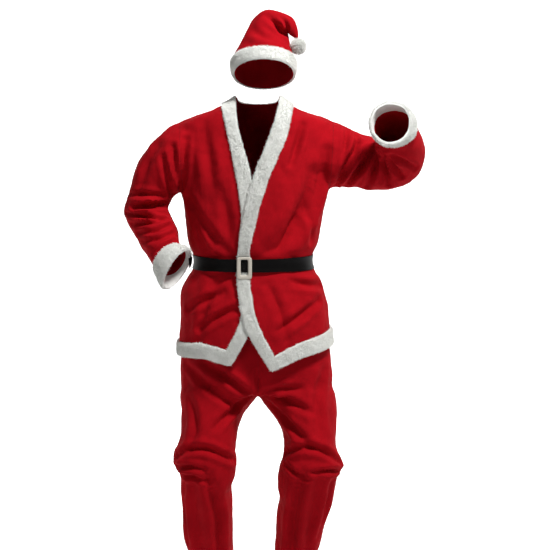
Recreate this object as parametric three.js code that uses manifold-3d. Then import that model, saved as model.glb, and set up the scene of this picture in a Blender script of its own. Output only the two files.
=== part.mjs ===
// Santa suit in the pose of its wearer: hat, belted jacket and trousers.
// Millimetres, +Z up, +X to the wearer's left, the front faces -Y.
// The origin is the middle of the neck opening, where the wearer holds the suit.
import * as THREE from "three";
import { mergeVertices } from "three/addons/utils/BufferGeometryUtils.js";
import Module from "manifold-3d";

const wasm = await Module();
wasm.setup();

// ---- Cloth ----
const FELT = 2; // wall of the red felt
const PLUSH = 4; // wall of the white trim
const BELT_WALL = 2.5;
const GAP = 0.3; // kept between neighbouring pieces
const REACH = 400; // cutting tools run this far to the front and back
const TOP = 60; // height that the cutting outlines run up to
const SIDE = 300; // and how far they run out to either side
const END_RUN = 12; // how far an inner form runs out of an open end
const CUFF_GAP_SHARE = 0.04; // of a cuff's length, left open between its felt and plush

// ---- Facets ----
const BODY_COLUMNS = 20;
const SLEEVE_COLUMNS = 12;
const LEG_COLUMNS = 12;
const HAT_COLUMNS = 12;

// ---- Shapes of the level sections, 2 is an ellipse and more is squarer ----
const BODY_SQUARENESS = 2.35;
const TUBE_SQUARENESS = 2.1;

// ---- Closing of the fronts ----
const LAP_RISE = GAP + PLUSH + GAP + FELT; // the left front climbs over the right band
const LAP_START = 62; // x where the left front leaves its full lift
const LAP_END = 112; // x where it is back on the form
const BELT_FLAT = { right: -100, left: 10 }; // the belt bridges the bands between these
const BELT_DOWN = { right: -170, left: 135 }; // and lies on the cloth from these outwards

// ---- Belt and buckle ----
const BELT = { top: -443, bottom: -488 };
const BUCKLE = { x: -38, z: -472.5, width: 45, height: 66, thick: 4 };
const BUCKLE_WINDOW = { width: 21, height: 46, z: -470 };

// ---- Pompom ----
const POMPOM = { x: 121, y: -26, z: 178, radius: 23 };

// Rows of plain numbers become rows with named columns.
function table(columns, rows) {
  return rows.map((row) => Object.fromEntries(columns.map((name, i) => [name, row[i]])));
}

// Level sections of the jacket's body, from the neck down.
const JACKET = table(["z", "left", "right", "front", "back"], [
  [34, 58, -58, -38, 76],
  [16, 72, -72, -58, 86],
  [2, 108, -104, -80, 96],
  [-14, 128, -152, -92, 106],
  [-44, 234, -236, -107, 118],
  [-70, 238, -240, -114, 124],
  [-140, 232, -236, -132, 131],
  [-200, 224, -231, -141, 130],
  [-250, 217, -225, -146, 127],
  [-340, 193, -219, -147, 115],
  [-440, 164, -197, -137, 98],
  [-495, 172, -201, -138, 102],
  [-549, 197, -232, -150, 118],
  [-660, 220, -237, -167, 145],
  [-747, 226, -241, -171, 151],
  [-800, 228, -243, -172, 153],
]);

// Level sections of the trousers above the legs.
const HIPS = table(["z", "left", "right", "front", "back"], [
  [-462, 146, -172, -108, 78],
  [-564, 180, -214, -128, 108],
  [-650, 206, -224, -140, 124],
  [-753, 222, -234, -148, 134],
  [-812, 228, -237, -144, 130],
  [-858, 227, -234, -130, 116],
]);

// A tube's section: the two ends of its breadth, and half of its depth.
const TUBE = ["ax", "ay", "az", "bx", "by", "bz", "depth"];

const SLEEVE_LEFT = table(TUBE, [
  [180, 0, -50, 180, 0, -226, 90],
  [235, -2, -43, 219, 0, -246, 96],
  [270, -2, -60, 245, -2, -237, 91],
  [315, -4, -80, 300, -2, -241, 84],
  [344, -12, -88, 352, -2, -247, 80],
  [356, -30, -94, 404, 0, -243, 77],
  [360, -44, -102, 450, -6, -226, 76],
  [360, -56, -110, 492, -24, -190, 74],
  [355, -75, -112, 499, -62, -146, 70],
  [345, -115, -95, 484, -115, -105, 67],
  [337, -165, -66, 462, -168, -76, 64],
  [330, -197, -45, 448, -203, -53, 62],
]);

const SLEEVE_RIGHT = table(TUBE, [
  [-185, 0, -50, -185, 0, -226, 90],
  [-240, 0, -45, -227, 0, -246, 97],
  [-272, 0, -62, -243, 0, -257, 94],
  [-318, 2, -102, -252, 0, -264, 88],
  [-356, 4, -158, -257, 0, -270, 82],
  [-378, 6, -212, -264, 0, -282, 78],
  [-388, 8, -262, -272, -2, -297, 75],
  [-406, 8, -312, -272, -12, -312, 74],
  [-392, -6, -352, -262, -28, -334, 73],
  [-362, -40, -396, -244, -52, -366, 72],
  [-330, -80, -438, -233, -80, -396, 71],
  [-297, -112, -480, -229, -106, -404, 70],
  [-268, -122, -536, -208, -138, -418, 64],
]);

const LEG_RIGHT = table(TUBE, [
  [-212, -4, -790, -20, -4, -790, 106],
  [-240, -9, -874, 3, -9, -878, 124],
  [-233, -30, -918, -42, -30, -925, 113],
  [-234, -76, -1005, -66, -76, -1005, 97],
  [-251, -86, -1058, -69, -86, -1058, 92],
  [-233, -76, -1108, -72, -76, -1108, 87],
  [-236, -68, -1150, -82, -68, -1152, 84],
  [-232, -42, -1227, -79, -42, -1223, 82],
  [-216, 12, -1370, -79, 12, -1370, 76],
  [-196, 48, -1480, -84, 48, -1480, 66],
]);

const LEG_LEFT = table(TUBE, [
  [206, -4, -790, 20, -4, -790, 106],
  [235, -9, -874, -3, -9, -878, 124],
  [241, -30, -935, 40, -30, -922, 113],
  [254, -86, -1068, 75, -86, -1062, 91],
  [238, -74, -1120, 62, -74, -1116, 87],
  [233, -64, -1165, 62, -64, -1160, 84],
  [218, -42, -1240, 60, -42, -1235, 81],
  [182, 12, -1372, 51, 12, -1370, 75],
  [150, 48, -1480, 46, 48, -1480, 66],
]);

// The hat from its lower edge to the tip that hangs down on the left.
const HAT = table(TUBE, [
  [109, -25, 105, -72, -25, 105, 100],
  [110, -13, 139, -74, -13, 139, 98],
  [103, -5, 162, -60, -5, 168, 86],
  [96, 0, 186, -42, 0, 205, 70],
  [90, 0, 206, -27, 0, 236, 57],
  [88, -10, 222, 22, -6, 290, 39],
  [89, -14, 223, 66, -10, 279, 33],
  [92, -17, 222, 101, -14, 266, 27],
  [98, -20, 216, 117, -18, 238, 20],
  [111, -23, 201, 122, -22, 206, 9],
]);
const BRIM_ROWS = 2; // the brim covers the first rows of the hat

// ---- Edges drawn in the front view ----
const EDGE = ["x", "z"];
const LEFT_FREE_EDGE = table(EDGE, [
  [66, 60], [66, 16], [50, -50], [23, -120], [-14, -209], [-43, -319],
  [-61, -430], [-62, -504], [-44, -625], [-26, -671], [40, -776],
]);
const LEFT_BAND_LINE = table(EDGE, [
  [106, 60], [106, 2], [87, -90], [70, -127], [33, -208], [5, -298],
  [-6, -345], [-26, -430], [-26, -504], [-6, -625], [49, -729],
]);
const RIGHT_FREE_EDGE = table(EDGE, [
  [-66, 60], [-66, 16], [-58, -50], [-52, -79], [-14, -209], [-5, -319],
  [-22, -430], [-24, -504], [-10, -625], [-26, -671], [-78, -761],
]);
const RIGHT_BAND_LINE = table(EDGE, [
  [-106, 60], [-106, 2], [-100, -22], [-64, -182], [-43, -319],
  [-57, -430], [-58, -504], [-42, -625], [-90, -713],
]);
const LEFT_HEM = table(EDGE, [[40, -776], [126, -738], [226, -717], [300, -710]]);
const LEFT_HEM_LINE = table(EDGE, [[49, -729], [126, -694], [225, -668], [300, -660]]);
const RIGHT_HEM = table(EDGE, [[-78, -761], [-157, -740], [-240, -747], [-300, -750]]);
const RIGHT_HEM_LINE = table(EDGE, [[-90, -713], [-163, -696], [-239, -708], [-300, -710]]);
const BACK_HEM = table(EDGE, [[-300, -750], [-240, -747], [0, -746], [226, -717], [300, -710]]);
const BACK_HEM_LINE = table(EDGE, [[-300, -710], [-239, -708], [0, -705], [225, -668], [300, -660]]);
const BACK_NECK = table(EDGE, [[-66, 60], [-66, 16], [-35, 8], [35, 8], [66, 16], [66, 60]]);
const BACK_NECK_LINE = table(EDGE, [
  [-106, 60], [-106, 2], [-62, -24], [0, -32], [62, -24], [106, 2], [106, 60],
]);

// ---- Seams, as lines that a thin cut follows ----
const ARMHOLE_RIGHT = table(EDGE, [[-238, 60], [-236, -44], [-228, -264]]);
const ARMHOLE_LEFT = table(EDGE, [[234, 60], [232, -38], [221, -264]]);
const RISE = { x: 0, top: -440, bottom: -905 };
const SIDE_SEAM = table(["y", "z"], [
  [-10, -430], [-6, -800], [-30, -925], [-65, -985], [-92, -1056],
  [-84, -1102], [-42, -1227], [-8, -1314], [12, -1370], [48, -1500],
]);

// ---- Points, rings and forms ----
function vector(x, y, z) {
  return new THREE.Vector3(x, y, z);
}

// How far out a squared oval reaches at an angle, as a share of its half size.
function ovalShare(angle, squareness) {
  const power = 2 / squareness;
  const bend = (value) => Math.sign(value) * Math.abs(value) ** power;
  return { across: bend(Math.cos(angle)), along: bend(Math.sin(angle)) };
}

// One level ring of a body section, from the left side round by the back.
function levelRing(row, columns) {
  const centre = (row.left + row.right) / 2;
  const half = (row.left - row.right) / 2;
  return Array.from({ length: columns }, (_, i) => {
    const share = ovalShare((2 * Math.PI * i) / columns, BODY_SQUARENESS);
    const depth = share.along > 0 ? row.back : -row.front;
    return vector(centre + half * share.across, depth * share.along, row.z);
  });
}

// Rings of a tube, each square to the tube's own run.
function tubeRings(rows, columns) {
  const ends = rows.map((row) => [vector(row.ax, row.ay, row.az), vector(row.bx, row.by, row.bz)]);
  const middles = ends.map(([a, b]) => a.clone().add(b).multiplyScalar(0.5));
  return rows.map((row, i) => {
    const before = middles[Math.max(i - 1, 0)];
    const after = middles[Math.min(i + 1, rows.length - 1)];
    const run = after.clone().sub(before);
    const across = ends[i][0].clone().sub(middles[i]);
    const along = run.cross(across).normalize().multiplyScalar(row.depth);
    return Array.from({ length: columns }, (_, k) => {
      const share = ovalShare((2 * Math.PI * k) / columns, TUBE_SQUARENESS);
      return middles[i].clone().addScaledVector(across, share.across).addScaledVector(along, share.along);
    });
  });
}

function ringMiddle(ring) {
  return ring.reduce((sum, point) => sum.add(point), vector(0, 0, 0)).divideScalar(ring.length);
}

// Outward direction at each point of a grid of rings.
function outward(rings, flip) {
  return rings.map((ring, i) => ring.map((point, k) => {
    const above = rings[Math.max(i - 1, 0)][k];
    const below = rings[Math.min(i + 1, rings.length - 1)][k];
    const next = ring[(k + 1) % ring.length];
    const last = ring[(k - 1 + ring.length) % ring.length];
    const normal = next.clone().sub(last).cross(below.clone().sub(above)).normalize();
    return normal.multiplyScalar(flip);
  }));
}

// Six times the volume that the closed grid holds, to tell which way its rings wind.
function windingOf(rings) {
  const middle = ringMiddle(rings.map(ringMiddle));
  let sum = 0;
  for (let i = 0; i + 1 < rings.length; i += 1) {
    rings[i].forEach((point, k) => {
      const a = point.clone().sub(middle);
      const b = rings[i][(k + 1) % rings[i].length].clone().sub(middle);
      const c = rings[i + 1][k].clone().sub(middle);
      sum += a.dot(b.cross(c));
    });
  }
  return Math.sign(sum);
}

// The rings moved out by a lift, which may differ from point to point, and run on at the ends.
function movedRings(rings, lift, startRun, endRun) {
  const flip = windingOf(rings);
  const normals = outward(rings, flip);
  const moved = rings.map((ring, i) => ring.map((point, k) => {
    return point.clone().addScaledVector(normals[i][k], lift(point));
  }));
  const runOn = (ring, inner, distance) => {
    const away = ringMiddle(ring).sub(ringMiddle(inner)).normalize().multiplyScalar(distance);
    return ring.map((point) => point.clone().add(away));
  };
  const last = rings.length - 1;
  const start = startRun > 0 ? [runOn(moved[0], moved[1], startRun)] : [];
  const end = endRun > 0 ? [runOn(moved[last], moved[last - 1], endRun)] : [];
  return [...start, ...moved, ...end];
}

// A mesh of closed rings with flat ends, made a solid.
function solidOfRings(rings) {
  const columns = rings[0].length;
  const points = rings.flat();
  const faces = [];
  for (let i = 0; i + 1 < rings.length; i += 1) {
    for (let k = 0; k < columns; k += 1) {
      const a = i * columns + k;
      const b = i * columns + ((k + 1) % columns);
      faces.push([a, b, a + columns], [b, b + columns, a + columns]);
    }
  }
  const last = (rings.length - 1) * columns;
  points.push(ringMiddle(rings[0]), ringMiddle(rings[rings.length - 1]));
  for (let k = 0; k < columns; k += 1) {
    const next = (k + 1) % columns;
    faces.push([next, k, points.length - 2], [last + k, last + next, points.length - 1]);
  }
  const turned = windingOf(rings) > 0 ? faces : faces.map(([a, b, c]) => [a, c, b]);
  return solidOfMesh(points.flatMap((p) => [p.x, p.y, p.z]), turned.flat());
}

function solidOfMesh(numbers, triangles) {
  return new wasm.Manifold(new wasm.Mesh({
    numProp: 3,
    vertProperties: new Float32Array(numbers),
    triVerts: new Uint32Array(triangles),
  }));
}

function solidOfGeometry(geometry) {
  geometry.deleteAttribute("normal");
  geometry.deleteAttribute("uv");
  const merged = mergeVertices(geometry, 1e-4);
  return solidOfMesh(merged.attributes.position.array, merged.index.array);
}

// ---- Cutting tools ----
// A prism of an upright outline, from one depth to another, turned about the vertical.
function prism(outline, fromY, toY, turn = 0) {
  const shape = new THREE.Shape(outline.map((p) => new THREE.Vector2(p.x, p.z)));
  const geometry = new THREE.ExtrudeGeometry(shape, { depth: toY - fromY, bevelEnabled: false });
  geometry.rotateX(Math.PI / 2);
  geometry.translate(0, toY, 0);
  geometry.rotateZ(turn);
  return solidOfGeometry(geometry);
}

// What lies in front of the side seams, or behind them, inside an outline of the front view.
const frontOf = (outline) => prism(outline, -REACH, -GAP / 2);
const backOf = (outline) => prism(outline, GAP / 2, REACH);

// A thin wall along a line, one gap thick, that parts two pieces at their seam.
function seamOutline(line) {
  const side = (sign) => line.map((point, i) => {
    const before = line[Math.max(i - 1, 0)];
    const after = line[Math.min(i + 1, line.length - 1)];
    const run = new THREE.Vector2(after.x - before.x, after.z - before.z).normalize();
    return { x: point.x - run.y * sign * (GAP / 2), z: point.z + run.x * sign * (GAP / 2) };
  });
  return [...side(-1), ...side(1).reverse()];
}

function frontSeam(line) {
  return prism(seamOutline(line), -REACH, REACH);
}

// The same for a line drawn in the side view, cut through from side to side.
function sideSeam(line) {
  return prism(seamOutline(line.map((p) => ({ x: p.y, z: p.z }))), -REACH, REACH, Math.PI / 2);
}

// ---- Walls ----
const flat = (distance) => () => distance;

function smooth(value, from, to) {
  const share = Math.min(Math.max((value - from) / (to - from), 0), 1);
  return share * share * (3 - 2 * share);
}

// How far the left front stands off the form, to climb over the right band.
function lapLift(point) {
  const front = smooth(-point.y, 15, 90);
  return LAP_RISE * front * (1 - smooth(point.x, LAP_START, LAP_END));
}

// How far the belt's inner face stands off the form.
function beltLift(point) {
  const bridge = LAP_RISE + GAP + PLUSH;
  const fallRight = (BELT_FLAT.right - point.x) / (BELT_FLAT.right - BELT_DOWN.right);
  const fallLeft = (point.x - BELT_FLAT.left) / (BELT_DOWN.left - BELT_FLAT.left);
  const held = 1 - Math.min(Math.max(fallRight, fallLeft, 0), 1);
  return GAP + (point.y < 0 ? bridge * held : 0);
}

const jacketRings = JACKET.map((row) => levelRing(row, BODY_COLUMNS));
const hipRings = HIPS.map((row) => levelRing(row, BODY_COLUMNS));
const sleeveRings = [SLEEVE_LEFT, SLEEVE_RIGHT].map((rows) => tubeRings(rows, SLEEVE_COLUMNS));
const legRings = [LEG_LEFT, LEG_RIGHT].map((rows) => tubeRings(rows, LEG_COLUMNS));
const hatRings = tubeRings(HAT, HAT_COLUMNS);

// The wall between two lifts of one grid of rings, open at the ends that run on.
function wall(rings, outer, inner, openStart, openEnd) {
  const outside = solidOfRings(movedRings(rings, outer, 0, 0));
  const inside = solidOfRings(movedRings(rings, inner, openStart ? END_RUN : 0, openEnd ? END_RUN : 0));
  return outside.subtract(inside);
}

function joined(solids) {
  return solids.reduce((sum, solid) => sum.add(solid));
}

// The whole jacket's cloth, body and sleeves in one.
function jacketCloth(lift) {
  const form = (rise, run) => joined([
    solidOfRings(movedRings(jacketRings, rise, run, run)),
    ...sleeveRings.map((rings) => solidOfRings(movedRings(rings.slice(0, -1), rise, 0, run))),
  ]);
  return form(lift, 0).subtract(form((p) => lift(p) - FELT, END_RUN));
}

// The same cut at the armholes: right sleeve, body, left sleeve.
function jacketParts(lift) {
  const cut = jacketCloth(lift).subtract(frontSeam(ARMHOLE_LEFT)).subtract(frontSeam(ARMHOLE_RIGHT));
  const middleX = (solid) => solid.boundingBox().min[0] + solid.boundingBox().max[0];
  return cut.decompose().sort((a, b) => middleX(a) - middleX(b));
}

const leftFrontOutline = [...LEFT_FREE_EDGE, ...LEFT_HEM.slice(1), { x: SIDE, z: TOP }];
const rightFrontOutline = [...RIGHT_FREE_EDGE, ...RIGHT_HEM.slice(1), { x: -SIDE, z: TOP }];
const backOutline = [...BACK_HEM, { x: SIDE, z: TOP }, ...[...BACK_NECK].reverse(), { x: -SIDE, z: TOP }];

// A strip between an edge and its stitched line, on the jacket's body.
function strip(edge, line, lift) {
  const rise = (p) => lift(p) + GAP;
  const plush = wall(jacketRings, (p) => rise(p) + PLUSH, rise, true, true);
  return { plush, outline: [...edge, ...[...line].reverse()] };
}

function frontStrip(edge, line, lift) {
  const { plush, outline } = strip(edge, line, lift);
  return plush.intersect(frontOf(outline));
}

function backStrip(edge, line) {
  const { plush, outline } = strip(edge, line, flat(0));
  return plush.intersect(backOf(outline));
}

// The mitre between a front band and its hem trim.
function mitre(edge, line) {
  const low = edge[edge.length - 1];
  const high = line[line.length - 1];
  const run = { x: low.x - high.x, z: low.z - high.z };
  const along = (share) => ({ x: high.x + run.x * share, z: high.z + run.z * share });
  return frontSeam([along(-0.2), along(1.2)]);
}

// ---- Jacket ----
const [sleeveRight, jacketBody, sleeveLeft] = jacketParts(flat(0));
const lappedBody = jacketParts(lapLift)[1];
const leftMitre = mitre(LEFT_FREE_EDGE, LEFT_BAND_LINE);
const rightMitre = mitre(RIGHT_FREE_EDGE, RIGHT_BAND_LINE);
const leftBand = frontStrip(LEFT_FREE_EDGE, LEFT_BAND_LINE, lapLift).subtract(leftMitre);
const rightBand = frontStrip(RIGHT_FREE_EDGE, RIGHT_BAND_LINE, flat(0)).subtract(rightMitre);

// A sleeve's plush ring, butted to the cut end of the felt.
function cuff(rings) {
  const [felt, edge] = rings.slice(-2);
  const start = felt.map((point, k) => point.clone().lerp(edge[k], CUFF_GAP_SHARE));
  const out = PLUSH - FELT / 2;
  return wall([start, edge], flat(out), flat(out - PLUSH), true, true);
}

// ---- Belt and buckle ----
const beltOutline = [
  { x: -SIDE, z: BELT.bottom },
  { x: SIDE, z: BELT.bottom },
  { x: SIDE, z: BELT.top },
  { x: -SIDE, z: BELT.top },
];
const belt = wall(jacketRings, (p) => beltLift(p) + BELT_WALL, beltLift, true, true)
  .intersect(prism(beltOutline, -REACH, REACH));

function rectangle(centreX, centreZ, width, height) {
  const [x, z] = [width / 2, height / 2];
  return [[-x, -z], [x, -z], [x, z], [-x, z]].map(([a, b]) => ({ x: centreX + a, z: centreZ + b }));
}

function buckle() {
  const outer = rectangle(BUCKLE.x, BUCKLE.z, BUCKLE.width, BUCKLE.height);
  const under = belt.add(leftBand).intersect(prism(outer, -REACH, 0));
  const back = under.boundingBox().min[1] - GAP;
  const window = rectangle(BUCKLE.x, BUCKLE_WINDOW.z, BUCKLE_WINDOW.width, BUCKLE_WINDOW.height);
  return prism(outer, back - BUCKLE.thick, back).subtract(prism(window, -REACH, REACH));
}

// ---- Trousers: right back, right front, left back, left front ----
function trouserCloth() {
  const form = (rise, start, end) => joined([
    solidOfRings(movedRings(hipRings, flat(rise), start, 0)),
    ...legRings.map((rings) => solidOfRings(movedRings(rings, flat(rise), 0, end))),
  ]);
  const riseSeam = frontSeam([{ x: RISE.x, z: RISE.top }, { x: RISE.x, z: RISE.bottom }]);
  return form(0, 0, 0).subtract(form(-FELT, END_RUN, END_RUN)).subtract(riseSeam).subtract(sideSeam(SIDE_SEAM));
}

function trouserParts() {
  const place = (solid) => {
    const box = solid.boundingBox();
    return { solid, x: box.min[0] + box.max[0], y: box.min[1] + box.max[1] };
  };
  const parts = trouserCloth().decompose().map(place);
  const pick = (side) => parts.filter((part) => Math.sign(part.x) === side).sort((a, b) => a.y - b.y);
  return { left: pick(1), right: pick(-1) };
}

// ---- Hat ----
const hatOutside = solidOfRings(movedRings(hatRings, flat(0), 0, 0));
const hatInside = solidOfRings(movedRings(hatRings.slice(0, -1), flat(-FELT), END_RUN, 0));

function pompom() {
  const ball = new THREE.SphereGeometry(POMPOM.radius, 14, 9);
  ball.translate(POMPOM.x, POMPOM.y, POMPOM.z);
  return solidOfGeometry(ball).subtract(solidOfRings(movedRings(hatRings, flat(GAP), 0, GAP)));
}

// ---- The suit ----
const RED = { color: 0xb00c1e, roughness: 0.95 };
const WHITE = { color: 0xe4e6e0, roughness: 1 };
const BLACK = { color: 0x0a0a0c, roughness: 0.45 };
const IVORY = { color: 0xd9d6cb, roughness: 0.4 };

const trousers = trouserParts();
const hemLeft = frontStrip(LEFT_HEM_LINE, LEFT_HEM, lapLift);
const hemRight = frontStrip(RIGHT_HEM_LINE, RIGHT_HEM, flat(0));
const pieces = [
  ["hat_crown", hatOutside.subtract(hatInside), RED],
  ["hat_brim", wall(hatRings.slice(0, BRIM_ROWS), flat(GAP + PLUSH), flat(GAP), true, true), WHITE],
  ["hat_pompom", pompom(), WHITE],
  ["jacket_back", jacketBody.intersect(backOf(backOutline)), RED],
  ["jacket_front_left", lappedBody.intersect(frontOf(leftFrontOutline)), RED],
  ["jacket_front_right", jacketBody.intersect(frontOf(rightFrontOutline)), RED],
  ["sleeve_left", sleeveLeft, RED],
  ["sleeve_right", sleeveRight, RED],
  ["cuff_trim_left", cuff(sleeveRings[0]), WHITE],
  ["cuff_trim_right", cuff(sleeveRings[1]), WHITE],
  ["front_band_left", leftBand, WHITE],
  ["front_band_right", rightBand, WHITE],
  ["neck_band_back", backStrip(BACK_NECK, BACK_NECK_LINE), WHITE],
  ["hem_trim_back", backStrip(BACK_HEM_LINE, BACK_HEM), WHITE],
  ["hem_trim_left", hemLeft.subtract(leftMitre).subtract(leftBand), WHITE],
  ["hem_trim_right", hemRight.subtract(rightMitre).subtract(rightBand), WHITE],
  ["belt", belt, BLACK],
  ["belt_buckle", buckle(), IVORY],
  ["trouser_front_left", trousers.left[0].solid, RED],
  ["trouser_back_left", trousers.left[1].solid, RED],
  ["trouser_front_right", trousers.right[0].solid, RED],
  ["trouser_back_right", trousers.right[1].solid, RED],
];

function meshOf(name, solid, finish) {
  const { vertProperties, triVerts } = solid.getMesh();
  const geometry = new THREE.BufferGeometry();
  geometry.setAttribute("position", new THREE.BufferAttribute(new Float32Array(vertProperties), 3));
  geometry.setIndex(new THREE.BufferAttribute(new Uint32Array(triVerts), 1));
  const material = new THREE.MeshStandardMaterial({ ...finish, metalness: 0 });
  const mesh = new THREE.Mesh(geometry, material);
  mesh.name = name;
  return mesh;
}

const suit = new THREE.Group();
pieces.forEach(([name, solid, finish]) => suit.add(meshOf(name, solid, finish)));
export default suit;
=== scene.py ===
import logging
import math
from dataclasses import dataclass, field
from enum import Enum
from typing import Sequence

import bpy
import numpy as np
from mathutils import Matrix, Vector
from mathutils.bvhtree import BVHTree


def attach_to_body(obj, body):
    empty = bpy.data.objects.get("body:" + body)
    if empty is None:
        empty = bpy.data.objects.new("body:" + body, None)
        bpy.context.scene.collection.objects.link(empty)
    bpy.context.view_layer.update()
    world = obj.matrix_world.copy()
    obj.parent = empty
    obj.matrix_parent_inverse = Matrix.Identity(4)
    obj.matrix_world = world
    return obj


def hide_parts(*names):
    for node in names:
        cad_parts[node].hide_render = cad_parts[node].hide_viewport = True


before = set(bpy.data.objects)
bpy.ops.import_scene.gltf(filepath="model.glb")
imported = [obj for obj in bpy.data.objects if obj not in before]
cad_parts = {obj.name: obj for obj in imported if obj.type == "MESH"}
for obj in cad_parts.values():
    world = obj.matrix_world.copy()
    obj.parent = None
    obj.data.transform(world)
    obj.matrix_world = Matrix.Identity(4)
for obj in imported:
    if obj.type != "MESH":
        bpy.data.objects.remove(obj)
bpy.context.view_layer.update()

LOG = logging.getLogger("santa_suit")
MM = 0.001
SEED = 24

# ---- Folds: shares of the depths and widths in the tables, and how they are laid ----
FOLD_GAIN = 2.1
FOLD_SPREAD = 0.78
FOLD_STEPS = 34
FOLD_CORNERS = 2
NEAR_PATH = 6
OUTER_SKIN = 25
FACING = -0.1
RIDGE_HEIGHT, RIDGE_PLACE = 0.45, 2.0
TAPER_START, TAPER_RUN = 0.06, 0.88
REACH_IN_WIDTHS = 4
WAVE_COUNT = 14
WAVE_SPREAD = (0.6, 1.7)
WAVE_SHARPNESS = 1.2
SHARP_EDGE = 55.0
BODY = "root"

Array = np.ndarray
Outline = Sequence[tuple[float, float]]

# ---- Cloth and trim, mm ----
FELT = 2.0
PLUSH = 4.0
GAP = 0.3
VOXEL = 5.2
LAP_RISE = GAP + PLUSH + GAP + FELT
BELT_TOP, BELT_BOTTOM, BELT_WALL = -443.0, -488.0, 2.5

# ---- Level sections: height, left, right, front, back ----
JACKET_ROWS = [
    (40, 56, -56, -34, 72), (16, 72, -72, -58, 86), (2, 106, -104, -80, 96),
    (-14, 132, -152, -92, 106), (-31, 198, -198, -101, 114), (-44, 230, -234, -107, 118),
    (-70, 236, -240, -114, 124), (-140, 231, -236, -132, 131), (-200, 223, -231, -141, 130),
    (-250, 214, -225, -146, 127), (-295, 203, -224, -148, 122), (-340, 193, -219, -147, 115),
    (-385, 187, -215, -145, 108), (-412, 183, -212, -143, 104), (-432, 172, -202, -140, 100),
    (-445, 163, -194, -136, 97), (-466, 162, -191, -135, 96), (-486, 167, -194, -136, 98),
    (-505, 181, -208, -141, 106), (-549, 198, -233, -151, 118), (-600, 210, -238, -160, 133),
    (-660, 220, -237, -167, 145), (-720, 226, -240, -170, 150), (-830, 230, -244, -172, 153),
]
HIP_ROWS = [
    (-462, 146, -172, -108, 78), (-564, 180, -214, -128, 108), (-650, 206, -224, -140, 124),
    (-753, 223, -235, -148, 134), (-812, 229, -238, -146, 130), (-858, 228, -236, -132, 118),
]
# ---- Tubes: the two ends of the breadth (x, y, z each) and half of the depth ----
SLEEVE_LEFT_ROWS = [
    (180, 0, -50, 180, 0, -226, 90), (235, -2, -43, 217, 0, -246, 96),
    (268, -2, -62, 243, -2, -232, 91), (292, -3, -74, 272, -2, -238, 86),
    (322, -4, -84, 312, -2, -244, 82), (346, -12, -89, 352, -2, -249, 80),
    (356, -30, -94, 404, 0, -246, 77), (360, -44, -102, 446, -6, -233, 76),
    (362, -58, -108, 492, -24, -193, 74), (356, -80, -108, 501, -62, -146, 70),
    (345, -120, -90, 484, -115, -100, 67), (337, -165, -57, 457, -168, -66, 61),
    (327, -203, -46, 437, -209, -52, 58), (323, -222, -39, 432, -228, -45, 58),
]
SLEEVE_RIGHT_ROWS = [
    (-185, 0, -50, -185, 0, -226, 90), (-240, 0, -45, -227, 0, -246, 97),
    (-272, 0, -62, -243, 0, -257, 94), (-318, 2, -104, -252, 0, -264, 88),
    (-352, 4, -152, -257, 0, -270, 82), (-375, 6, -196, -262, 0, -280, 79),
    (-385, 8, -240, -268, -2, -292, 77), (-392, 8, -276, -277, -6, -302, 76),
    (-408, 8, -312, -268, -14, -314, 75), (-396, -4, -350, -256, -30, -338, 74),
    (-366, -36, -394, -240, -52, -366, 73), (-334, -76, -436, -236, -80, -396, 72),
    (-292, -114, -492, -225, -111, -414, 61), (-268, -118, -536, -206, -130, -420, 58),
    (-260, -120, -552, -200, -136, -425, 57),
]
LEG_RIGHT_ROWS = [
    (-212, -4, -790, -20, -4, -790, 106), (-240, -9, -874, 3, -9, -878, 124),
    (-234, -30, -918, -42, -30, -925, 114), (-230, -60, -985, -62, -60, -978, 102),
    (-240, -76, -1024, -67, -76, -1020, 97), (-254, -86, -1053, -69, -86, -1046, 94),
    (-247, -86, -1078, -67, -86, -1074, 92), (-232, -78, -1102, -68, -78, -1102, 89),
    (-237, -64, -1146, -83, -64, -1150, 86), (-231, -44, -1205, -76, -44, -1200, 84),
    (-233, -22, -1270, -78, -22, -1266, 82), (-233, -4, -1320, -78, -4, -1316, 79),
    (-216, 14, -1372, -80, 14, -1370, 76), (-198, 46, -1480, -84, 46, -1480, 68),
    (-194, 52, -1504, -85, 52, -1504, 67),
]
LEG_LEFT_ROWS = [
    (206, -4, -790, 20, -4, -790, 106), (235, -9, -874, -3, -9, -878, 124),
    (242, -30, -930, 40, -30, -922, 114), (239, -58, -985, 72, -58, -966, 103),
    (236, -74, -1024, 80, -74, -1014, 98), (250, -84, -1056, 83, -84, -1050, 94),
    (260, -86, -1078, 68, -86, -1072, 92), (243, -80, -1106, 62, -80, -1104, 88),
    (235, -66, -1150, 60, -66, -1146, 86), (229, -48, -1195, 68, -48, -1190, 84),
    (216, -30, -1250, 58, -30, -1246, 82), (200, -8, -1314, 54, -8, -1310, 79),
    (182, 14, -1374, 51, 14, -1370, 76), (152, 46, -1480, 46, 46, -1480, 68),
    (146, 52, -1504, 45, 52, -1504, 67),
]
HAT_ROWS = [
    (107, -28, 97, -69, -28, 97, 100), (110, -13, 132, -75, -13, 130, 97),
    (111, -9, 146, -76, -9, 147, 93),
    (104, -5, 162, -61, -5, 168, 87), (97, 0, 186, -43, 0, 205, 71),
    (91, 0, 205, -27, 0, 238, 58), (88, -4, 216, -8, -2, 269, 48),
    (87, -10, 221, 22, -6, 292, 40), (88, -14, 223, 46, -8, 288, 36),
    (89, -15, 223, 68, -10, 277, 33), (92, -17, 222, 102, -14, 270, 27),
    (98, -20, 216, 119, -18, 240, 20), (109, -23, 204, 124, -22, 210, 10),
    (114, -24, 198, 121, -24, 200, 5),
]

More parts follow.
